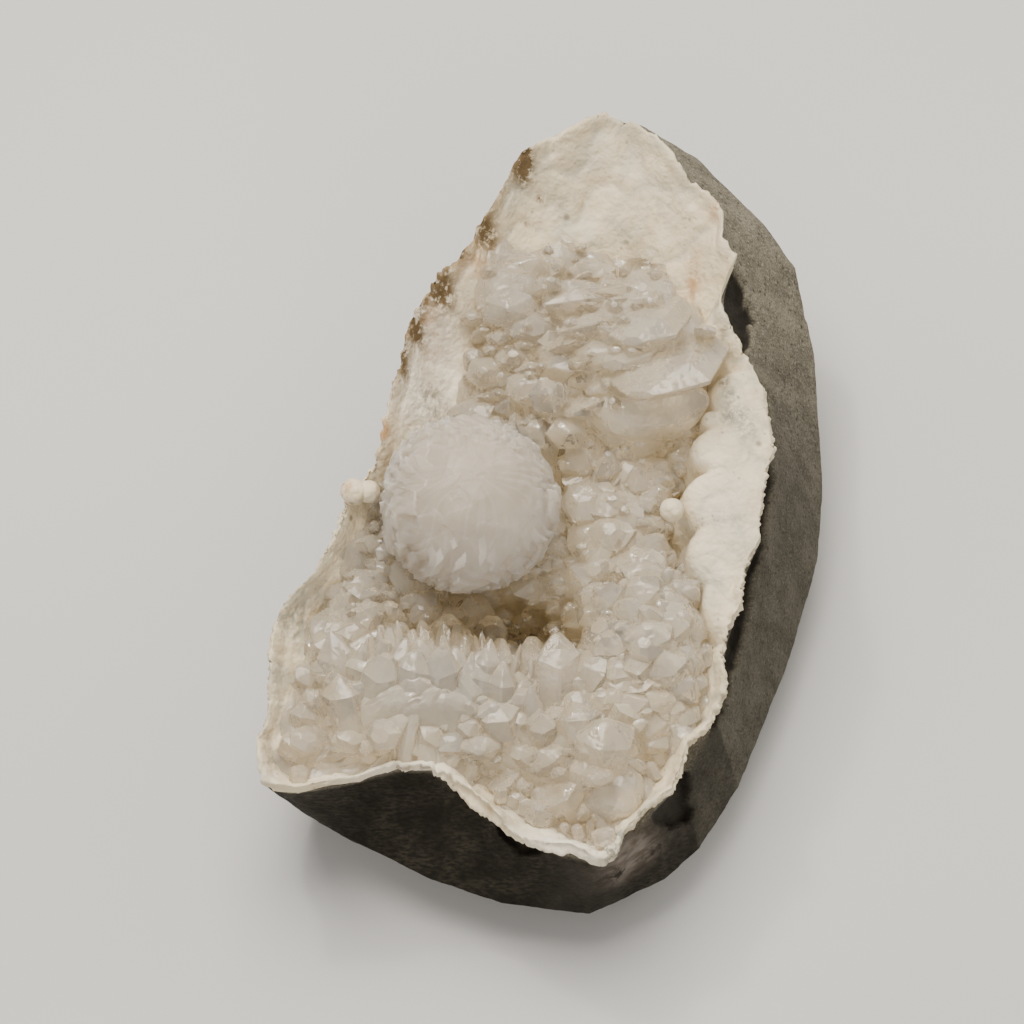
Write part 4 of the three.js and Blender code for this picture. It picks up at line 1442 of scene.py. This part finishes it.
@dataclass
class QuartzCrust(Piece):
    """Milky quartz: a rough sheet with tall, middling and small crystals, fused into one skin."""

    name: str = "quartz_crust_grown"
    node: str = "quartz_crust"
    slot: str = "quartz"
    crisp_deg: float = 24.0
    around: int = 300
    rust_spots: tuple[Spot, ...] = (Spot(2.7, -23.2, 0.5, 0.5, 1.0), Spot(9.8, 33.0, 2.0, 1.0, 0.4))
    # smoky colour and painted shade, strongest in the pit under the ball
    smoky_and_shade_spots: tuple[Spot, ...] = (
        Spot(2.5, 7.5, 3.4, 4.5, 0.32), Spot(-11, -12.5, 5.5, 2.6, 0.34), Spot(5.5, -1.5, 4.0, 3.0, 0.24),
        Spot(16.3, 3.0, 1.4, 2.6, 0.5), Spot(-24.0, -21.5, 1.6, 3.6, 0.4), Spot(1.8, -31.0, 2.0, 1.6, 0.45),
        Spot(-0.5, -12.0, 6.5, 3.8, 0.85), Spot(-8.5, -12.8, 4.5, 2.8, 0.55),
        Spot(5.0, -34.5, 2.6, 1.6, 0.45),
        Spot(11.0, 30.2, 1.6, 1.1, 0.7), Spot(4.0, 15.0, 1.6, 2.4, 0.4), Spot(14.0, 8.6, 4.0, 1.0, 0.45),
    )
    white_spots: tuple[Spot, ...] = (
        Spot(-13.0, -21.5, 9, 4.5, 1.2), Spot(10.5, 18.5, 5, 5, 0.8), Spot(12.5, -13.0, 5, 6, 0.7),
    )
    filled_spots: tuple[Spot, ...] = (
        Spot(-14.0, -22.0, 11, 4.5, 2.4), Spot(11.0, 20.5, 7, 6.5, 2.6), Spot(11.0, -17.0, 6, 9, 1.6),
    )
    batches: tuple[CrystalSet, ...] = (
        CrystalSet(38, (1.9, 3.4), (2.4, 4.4), 0.5, 0.8, 0),
        CrystalSet(360, (1.2, 2.9), (1.6, 3.8), 0.7, 4.0, 2000),
        CrystalSet(640, (0.6, 1.4), (1.6, 3.4), 1.2, 3.0, 4000),
    )
    lenses: tuple[Lens, ...] = (
        Lens(11.8, 12.5, -2.2, (7.0, 3.8, 3.0)), Lens(8.0, 18.6, -1.6, (3.6, 3.2, 2.6)),
        Lens(14.6, 20.6, -1.8, (3.8, 4.6, 2.8)), Lens(11.0, 24.6, -1.6, (4.0, 3.4, 2.2)),
        Lens(-4.0, 25.2, -2.0, (3.6, 3.2, 2.6)), Lens(7.8, -30.2, -2.2, (3.6, 3.8, 2.6)),
    )
    patches: tuple[CrystalPatch, ...] = (
        CrystalPatch((10.5, 19.5), (7, 7), 26, (-0.5, -0.5, 0.7), (2.2, 4.0), (1.2, 2.0), (5, 8), 6000),
        CrystalPatch((11, 21), (7, 8), 90, (-0.2, -0.4, 0.9), (0.7, 1.6), (0.6, 1.2), (5, 8.5), 6800),
        CrystalPatch((-3, 20), (5, 9), 50, (0.0, -0.3, 0.95), (0.7, 1.7), (0.6, 1.4), (3, 5.5), 7300),
        CrystalPatch((-12, -20.5), (12, 4.5), 26, (0.05, 0.75, 0.65), (1.4, 2.6), (1.3, 2.4), (5, 8), 6200),
        CrystalPatch((-11, -23.5), (12, 4.5), 120, (0.05, 0.85, 0.5), (0.5, 1.2), (0.5, 1.1), (5, 8), 7900),
        CrystalPatch((11, -16), (6, 8), 24, (-0.3, 0.3, 0.9), (1.6, 3.0), (1.4, 2.6), (3.5, 5.5), 6400),
        CrystalPatch((-22, -15), (4, 8), 14, (0.3, 0.3, 0.9), (1.5, 2.6), (1.3, 2.4), (3.0, 5.0), 6600),
        CrystalPatch((-4, -12.5), (8, 3), 40, (0.0, 0.15, 0.97), (0.8, 1.7), (0.7, 1.5), (3.0, 4.6), 7700),
    )

    def _sheet(self) -> Surface:
        """The sheet under the crystals: the quartz's top, roughened by cells, and a flat under."""
        clouds = Clouds(14)
        form = self.form
        angle = np.arange(self.around) / self.around * TAU
        border = form.quartz_border.cross(angle)[0]
        edge_x, edge_y = form.place(angle, border)
        edge = np.stack([edge_x, edge_y, 0 * edge_x], -1)
        border = border + 0.9 * clouds.smooth(edge, 3.2) + 0.5 * clouds.smooth(edge, 1.2)
        shares = np.linspace(0.04, 1.0, 66)[:, None]
        x, y = form.place(angle, border * shares)
        flat = np.stack([x, y, form.quartz_top(x, y)], -1)
        near, _, away = clouds.cells(flat * [1, 1, 0.5], 1.9)
        lumps = 0.75 * (0.6 - near) + 0.35 * away[..., 0] - 0.2 * away[..., 1]
        filled = sum(spot.at(x, y) for spot in self.filled_spots)
        flat[..., 2] += (lumps + filled) * (1 - shares**12) + 0.1 - 1.5 * shares**16
        under_shares = np.array([0.995, 0.7, 0.3])[:, None]
        ux, uy = form.place(angle, border * under_shares)
        under = np.stack([ux, uy, form.rind_top(ux, uy) - 0.6], -1)
        top = np.array([*POLE, form.quartz_top(*POLE[:, None])[0]])
        bottom = np.array([*POLE, form.rind_top(*POLE[:, None])[0] - 0.6])
        return skin(np.concatenate([flat, under]), top, bottom)

    @staticmethod
    def _crystals(
        foot: np.ndarray, points: np.ndarray, half: np.ndarray, length: np.ndarray,
        tip: np.ndarray, blunt: np.ndarray, bury: float, turn: np.ndarray,
    ) -> list[Surface]:
        """Six-sided crystals with narrow bevels: straight sides, then uneven faces to a point.

        Args:
            foot: Where each stands.
            points: Unit direction of each.
            half: Half width and half thickness of each.
            length: Length of each.
            tip: Share of the length that is the point.
            blunt: 0 for a sharp point to 1 for a blunt one.
            bury: How far each reaches below its foot.
            turn: Turn of each about its own length.

        Returns:
            A closed surface for each crystal.
        """
        count = len(foot)
        bevel = math.radians(5)
        corner = np.repeat(np.arange(6) * TAU / 6, 2) + np.tile([-bevel, bevel], 6) - TAU / 4
        around = corner + turn[:, None]
        one = np.ones(count)
        profile = np.stack([0.9 * one, one, 0.55 + 0.27 * blunt, 0.1 + 0.4 * blunt], 1)
        tip = tip * (1 - 0.35 * blunt)
        bury_all = np.full(count, -bury)
        shoulders = [length * (1 - part * tip) for part in (1.0, 0.52, 0.06)]
        heights = np.stack([bury_all, *shoulders], 1)
        uneven = chance(np.arange(count)[:, None] * 7 + np.repeat(np.arange(6), 2)) - 0.5
        lift = np.stack([0 * uneven, uneven, 0.5 * uneven, 0 * uneven], 1)
        lift = lift * (length * tip * 0.5)[:, None, None]
        z = heights[..., None] + lift
        u = np.cos(around)[:, None] * profile[..., None] * half[:, 0, None, None]
        v = np.sin(around)[:, None] * profile[..., None] * half[:, 1, None, None]
        ends = np.zeros((count, 2, 3))
        ends[:, 0, 2] = -bury
        ends[:, 1, 2] = length
        own = np.concatenate([ends, np.stack([u, v, z], -1).reshape(count, -1, 3)], 1)
        a, b, c = points[:, 0], points[:, 1], points[:, 2]
        across = np.stack([1 - a * a / (1 + c), -a * b / (1 + c), -a], -1)
        up = np.stack([-a * b / (1 + c), 1 - b * b / (1 + c), -b], -1)
        world = own[..., :1] * across[:, None] + own[..., 1:2] * up[:, None] + own[..., 2:] * points[:, None]
        world += foot[:, None]
        i = np.arange(12)
        j = (i + 1) % 12
        start = 2 + np.arange(3)[:, None] * 12
        sides = np.stack([start + i, start + j, start + 12 + j, start + 12 + i], -1).reshape(-1, 4)
        foot_fan = np.stack([0 * i, 2 + j, 2 + i], -1)
        fans = np.concatenate([foot_fan, np.stack([0 * i + 1, 38 + i, 38 + j], -1)])
        return [Surface(one, sides, fans) for one in world]

    def _tall(self) -> list[Surface]:
        """The crystals that stand out, one by one."""
        at = np.array([c.at for c in TALL_CRYSTALS])
        return self._crystals(
            np.column_stack([at, self.form.quartz_top(at[:, 0], at[:, 1])]),
            unit(np.array([c.points for c in TALL_CRYSTALS])),
            np.array([c.half for c in TALL_CRYSTALS]),
            np.array([c.length for c in TALL_CRYSTALS]),
            np.array([c.tip for c in TALL_CRYSTALS]),
            0.45 * chance(np.arange(len(TALL_CRYSTALS)) + 40),
            2.0,
            chance(np.arange(len(TALL_CRYSTALS))),
        )

    def _batch(self, batch: CrystalSet) -> list[Surface]:
        """Crystals on a sunflower spiral, leaning by chance, left out under the ball.

        Args:
            batch: Their number, sizes and lean.

        Returns:
            The crystals.
        """
        form = self.form
        n = np.arange(batch.count)
        angle = (n * GOLDEN_ANGLE) % TAU
        share = 0.965 * np.sqrt((n + 0.5) / batch.count)
        x, y = form.place(angle, form.quartz_border.cross(angle)[0] * share)
        x = x + batch.stray * (chance(n + batch.seed + 1000) - 0.5)
        y = y + batch.stray * (chance(n + batch.seed + 1200) - 0.5)
        free = np.hypot(x - BALL_MIDDLE[0], y - BALL_MIDDLE[1]) > BALL_RADIUS * 0.8
        n, x, y = n[free], x[free], y[free]
        points = form.quartz_normal(x, y)
        points[:, 0] += batch.lean * (chance(n + batch.seed + 200) - 0.5)
        points[:, 1] += batch.lean * (chance(n + batch.seed + 400) - 0.5) + 0.12
        points[:, 1] += 0.5 * smooth_step(-9, -20, y) * (batch.seed > 0)
        size = chance(n + batch.seed + 600)
        angle, far = form.polar(x, y)
        border = form.quartz_border.cross(angle)[0]
        inside = far < border - 0.6
        n, x, y, points, size = n[inside], x[inside], y[inside], points[inside], size[inside]
        edge = 0.35 + 0.65 * smooth_step(0.3, 5.0, (border - far)[inside])
        half = (batch.half[0] + (batch.half[1] - batch.half[0]) * size) * edge**0.5
        length = (batch.length[0] + (batch.length[1] - batch.length[0]) * chance(n + batch.seed + 800)) * edge
        foot = np.column_stack([x, y, form.quartz_top(x, y)])
        halves = np.column_stack([half, half * (0.55 + 0.45 * chance(n + batch.seed + 900))])
        tip = 0.35 + 0.25 * chance(n + batch.seed + 1400)
        blunt = chance(n + batch.seed + 1600) ** (0.7 if batch.half[1] > 3 else 1.6)
        return self._crystals(foot, unit(points), halves, length, tip, blunt, 0.9, chance(n) * math.pi)

    def _patch(self, patch: CrystalPatch) -> list[Surface]:
        """Crystals on a small sunflower spiral, all leaning roughly one way.

        Args:
            patch: Where they stand, which way they point, and their sizes.

        Returns:
            The crystals.
        """
        n = np.arange(patch.count)
        far = np.sqrt((n + 0.5) / patch.count)
        x = patch.at[0] + patch.reach[0] * far * np.cos(n * GOLDEN_ANGLE)
        y = patch.at[1] + patch.reach[1] * far * np.sin(n * GOLDEN_ANGLE)
        lean = np.stack([chance(n + patch.seed + k) - 0.5 for k in (0, 50, 100)], -1) * 0.5
        width, thickness, length = (
            low + (high - low) * chance(n + patch.seed + k)
            for k, (low, high) in zip((150, 200, 250), (patch.width, patch.thickness, patch.length))
        )
        foot = np.column_stack([x, y, self.form.quartz_top(x, y) - 1.2])
        points = unit(np.array(patch.points) + lean)
        tip = 0.3 + 0.2 * chance(n + patch.seed + 300)
        turn = 0.6 * (chance(n + patch.seed + 350) - 0.5)
        blunt = 0.7 * chance(n + patch.seed + 400)
        halves = np.column_stack([width, thickness])
        return self._crystals(foot, points, halves, length, tip, blunt, 0.8, turn)

    def _lens(self, lens: Lens, number: int) -> Surface:
        """A rounded lump: a ball stretched three ways, with flats pressed into it by noise.

        Args:
            lens: Its place and reach.
            number: Sets its flats apart from the others'.

        Returns:
            The closed surface.
        """
        ball = ball_grid(14)
        clouds = Clouds(60 + number)
        near, _, _ = clouds.cells(ball.points, 0.8)
        swell = 1 + 0.1 * clouds.smooth(ball.points, 0.9) - 0.12 * (near - 0.5)
        middle = np.array([lens.x, lens.y, self.form.face(np.array(lens.y)) + lens.level])
        ball.points = middle + ball.points * np.array(lens.reach) * swell[:, None]
        return ball

    def _united(self, sheet: Surface, crystals: Sequence[Surface]) -> bpy.types.Mesh:
        """One skin round the sheet and every crystal, with nothing left inside it.

        Args:
            sheet: The closed sheet.
            crystals: Closed crystals that grow through it and each other.

        Returns:
            The mesh, in mm.
        """
        grown = bpy.data.collections.new("grown")
        for k, crystal in enumerate(crystals):
            name = f"crystal_{k}"
            grown.objects.link(bpy.data.objects.new(name, crystal.mesh(name, to_frame=False)))
        carrier = bpy.data.objects.new("carrier", sheet.mesh("carrier", to_frame=False))
        bpy.context.scene.collection.objects.link(carrier)
        bpy.context.scene.collection.children.link(grown)
        union = carrier.modifiers.new("united", "BOOLEAN")
        union.operation = "UNION"
        union.operand_type = "COLLECTION"
        union.collection = grown
        union.solver = "MANIFOLD"
        graph = bpy.context.evaluated_depsgraph_get()
        made = bpy.data.meshes.new_from_object(carrier.evaluated_get(graph))
        for used in [*grown.objects, carrier]:
            data = used.data
            bpy.data.objects.remove(used)
            bpy.data.meshes.remove(data)
        bpy.data.collections.remove(grown)
        return made

    def build(self) -> bpy.types.Mesh:
        """Sheet and crystals in one skin, with depth kept at the points."""
        crystals = [*self._tall(), *[self._lens(lens, k) for k, lens in enumerate(self.lenses)]]
        for patch in self.patches:
            crystals += self._patch(patch)
        for batch in self.batches:
            crystals += self._batch(batch)
        mesh = self._united(self._sheet(), crystals)
        log.info("%d crystals grown together", len(crystals))
        points = np.empty(len(mesh.vertices) * 3, np.float32)
        mesh.vertices.foreach_get("co", points)
        points = points.reshape(-1, 3).astype(float)
        x, y, z = points.T
        below = self.form.face(y) - z
        # browner with depth below the face and low between crystals: partly smoky colour, partly painted
        # shade
        root = 1 - smooth_step(-0.6, 1.2, z - self.form.quartz_top(x, y))
        deep = 0.95 * smooth_step(6.5, 12.5, below) + 0.22 * root * smooth_step(1.5, 5.0, below)
        values = {
            "deep": np.clip(deep, 0, 1.4),
            "rust": sum(spot.at(x, y) for spot in self.rust_spots),
            "white": np.clip(sum(spot.at(x, y) for spot in self.white_spots), 0, 1),
        }
        values["deep"] += sum(spot.at(x, y) for spot in self.smoky_and_shade_spots)
        for key, value in values.items():
            mesh.attributes.new(key, "FLOAT", "POINT").data.foreach_set("value", value.astype(np.float32))
        mesh.vertices.foreach_set("co", ((points - ORIGIN) * MM).astype(np.float32).ravel())
        mesh.update()
        return mesh


@dataclass
class GoosecreekiteBall(Piece):
    """The ball: broad tilted crystal ends, each cut into finer curved blades."""

    name: str = "goosecreekite_grown"
    node: str = "goosecreekite_ball"
    slot: str = "goosecreekite"
    steps: int = 118
    level: float = 1.2

    @staticmethod
    def _spread(count: int) -> np.ndarray:
        """Directions spread evenly over a ball, on a spiral from pole to pole."""
        n = np.arange(count)
        z = 1 - (2 * n + 1) / count
        r = np.sqrt(1 - z * z)
        return np.stack([r * np.cos(n * GOLDEN_ANGLE), r * np.sin(n * GOLDEN_ANGLE), z], -1)

    def _facets(
        self, p: np.ndarray, count: int, lean: float, step: float, seed: int
    ) -> tuple[np.ndarray, np.ndarray, np.ndarray]:
        """Height of flat tilted ends: each direction meets the plane of its nearest seat.

        Args:
            p: Directions.
            count: How many ends.
            lean: How far their planes tilt.
            step: How much their distances differ.
            seed: Sets their chances apart.

        Returns:
            Heights against 1, how close each direction is to the edge of its end, and its end's number.
        """
        seat = self._spread(count)
        n = np.arange(count) + seed
        tilt = np.stack([chance(n), chance(n + 50), chance(n + 90)], -1) - 0.5
        faces = unit(seat + lean * tilt)
        reach = np.sum(faces * seat, -1) * (1 + step * (chance(n + 300) - 0.5))
        own = np.empty(len(p), int)
        edge = np.empty(len(p))
        for rows in np.array_split(np.arange(len(p)), 24):
            near = p[rows] @ seat.T
            best = np.argmax(near, 1)
            own[rows] = best
            first = near[np.arange(len(rows)), best]
            near[np.arange(len(rows)), best] = -2
            edge[rows] = np.arccos(np.clip(near.max(1), -1, 1)) - np.arccos(np.clip(first, -1, 1))
        height = reach[own] / np.maximum(np.sum(faces[own] * p, -1), 0.2)
        return height, edge, own

    def _painted_glints(self, p: np.ndarray, edge: np.ndarray, blade: np.ndarray) -> np.ndarray:
        """Painted glints: fine light edges of the ends on the left, and single light blades at the lower
        left.

        Args:
            p: Directions.
            edge: How close each direction is to the edge of its broad end.
            blade: Number of its fine blade.

        Returns:
            Values from 0 to 1.
        """
        clouds = Clouds(37)
        rise = p @ np.array([0.0, 0.9, 0.44])
        left = smooth_step(0.45, 0.7, -p[:, 0]) * smooth_step(-0.5, -0.2, rise)
        arcs = (1 - smooth_step(0.0, 0.022, edge)) * left * smooth_step(0.0, 0.3, clouds.smooth(p, 0.3))
        low = np.exp(-(((p[:, 0] + 0.12) / 0.32) ** 2) - ((rise + 0.6) / 0.2) ** 2)
        return np.maximum(arcs, (chance(blade + 5500) > 0.72) * np.minimum(1.2 * low, 1))

    def build(self) -> bpy.types.Mesh:
        """A ball pushed in and out by broad ends, fine curved blades and a slight swirl."""
        clouds = Clouds(31)
        ball = ball_grid(self.steps)
        p = ball.points
        swirl = np.stack([clouds.smooth(p + k * 9, 0.55) for k in range(3)], -1)
        bent = unit(p + 0.16 * swirl)
        broad, broad_edge, _ = self._facets(bent, 130, 0.36, 0.035, 0)
        drawn = unit((bent + 0.05 * swirl[:, ::-1]) * [1, 1, 0.55])
        fine, fine_edge, blade = self._facets(drawn, 1500, 0.6, 0.06, 700)
        wide = p * BALL_RADIUS
        lobes = 0.034 * clouds.smooth(wide, 8.0) + 0.018 * clouds.smooth(wide, 3.4)
        left = smooth_step(0.1, 0.75, -p[:, 0])
        up = smooth_step(0.3, 0.85, p @ np.array([0.0, -0.44, 0.9]))
        shape = 1 + (np.clip(broad, 0.94, 1.05) - 1) * (0.15 + 0.7 * left) + lobes
        shape += np.clip(fine - 1, -0.034, 0.034) * (1.15 - 1.05 * up)
        height = self.form.face(BALL_MIDDLE[1]) + self.level
        middle = np.array([*BALL_MIDDLE, height])
        ball.points = middle + p * (BALL_RADIUS * shape)[:, None]
        along = np.arctan2(bent[:, 1], bent[:, 0])
        lines = np.stack([np.cos(along) * 7, np.sin(along) * 7, bent[:, 2] * 1.5], -1)
        # creases between crystal ends, for faint painted shade
        creases = 1 - 0.5 * (smooth_step(0.0, 0.05, broad_edge) + smooth_step(0.0, 0.016, fine_edge))
        ball.values = {
            "crease_shade": creases,
            "streak": smooth_step(0.1, 0.5, clouds.smooth(lines, 0.5)),
            "painted_glint": self._painted_glints(p, broad_edge, blade),
            # painted light mask, strongest on the lower right of the ball
            "painted_light_side": smooth_step(0.1, 0.9, p @ np.array([0.55, -0.7, -0.3])),
        }
        return ball.mesh(self.name)


class Corner(Enum):
    """Where each light stands, in metres from the middle of the stone."""

    KEY = (-0.07, 0.2, 0.57)
    SPARK = (-0.2, 0.28, 0.54)
    FILL = (0.4, 0.34, 0.34)
    FRONT = (-0.1, -0.5, 0.34)


@dataclass
class Studio:
    """A plain pale floor, soft lights and the camera at the picture's angle."""

    effects: SharedEffects
    elevation_deg: float = 64.0
    view_width: float = 113.8 * MM
    lens_mm: float = 400.0
    aim_mm: tuple[float, float, float] = (-3.44, -4.05, 28.0)

    @property
    def aim(self) -> Vector:
        """The point that the camera and the lights look at, in metres."""
        return Vector([c * MM for c in self.aim_mm])

    def floor(self) -> None:
        """A wide flat square just under the stone."""
        half = 2.5
        mesh = bpy.data.meshes.new("floor")
        corners = [(-half, -half, 0), (half, -half, 0), (half, half, 0), (-half, half, 0)]
        mesh.from_pydata(corners, [], [(0, 1, 2, 3)])
        mesh.materials.append(FloorFinish(self.effects).material())
        floor = bpy.data.objects.new("floor", mesh)
        floor.location.z = -0.0002
        bpy.context.scene.collection.objects.link(floor)

    def lamp(self, corner: Corner, size: float, watts: float, colour: tuple[float, float, float]) -> None:
        """A square soft light that looks at the stone.

        Args:
            corner: Where it stands.
            size: Its side in metres.
            watts: Its strength.
            colour: Its tint.
        """
        light = bpy.data.lights.new(corner.name.lower(), "AREA")
        light.size = size
        light.energy = watts
        light.color = colour
        lamp = bpy.data.objects.new(light.name, light)
        lamp.location = self.aim + Vector(corner.value)
        lamp.rotation_euler = (-Vector(corner.value)).to_track_quat("-Z", "Y").to_euler()
        bpy.context.scene.collection.objects.link(lamp)

    def camera(self) -> None:
        """A long lens that looks down along the stone from its near end."""
        view = bpy.data.cameras.new("camera")
        view.lens = self.lens_mm
        view.sensor_width = 36.0
        tilt = math.radians(self.elevation_deg)
        far = self.view_width / 2 / math.tan(math.atan(view.sensor_width / 2 / view.lens))
        camera = bpy.data.objects.new("camera", view)
        camera.location = self.aim + far * Vector((0, -math.cos(tilt), math.sin(tilt)))
        camera.rotation_euler = (math.pi / 2 - tilt, 0, 0)
        view.clip_start = 0.01
        bpy.context.scene.collection.objects.link(camera)
        bpy.context.scene.camera = camera

    def set_up(self) -> None:
        """Places everything and the dim light of the room."""
        self.floor()
        self.lamp(Corner.KEY, 0.44, 5.3, (1.0, 0.945, 0.86))
        self.lamp(Corner.SPARK, 0.05, 0.8, (1.0, 0.955, 0.885))
        self.lamp(Corner.FILL, 0.4, 1.0, (1.0, 0.955, 0.89))
        self.lamp(Corner.FRONT, 0.5, 1.1, (1.0, 0.96, 0.91))
        self.camera()
        world = bpy.data.worlds.new("room")
        world.use_nodes = True
        world.node_tree.nodes["Background"].inputs[0].default_value = (0.93, 0.9, 0.86, 1)
        world.node_tree.nodes["Background"].inputs[1].default_value = 0.46
        bpy.context.scene.world = world


def main() -> None:
    """Builds the studio and then each piece of the specimen."""
    logging.basicConfig(level=logging.INFO, format="%(message)s")
    effects = SharedEffects()
    Studio(effects).set_up()
    form = StoneForm()
    pieces = [
        BasaltRock(form, BasaltFinish(effects)),
        ChalkRind(form, RindFinish(effects)),
        QuartzCrust(form, QuartzFinish(effects)),
        GoosecreekiteBall(form, BallFinish(effects)),
    ]
    for piece in pieces:
        piece.make()


if __name__ == "__main__":
    main()
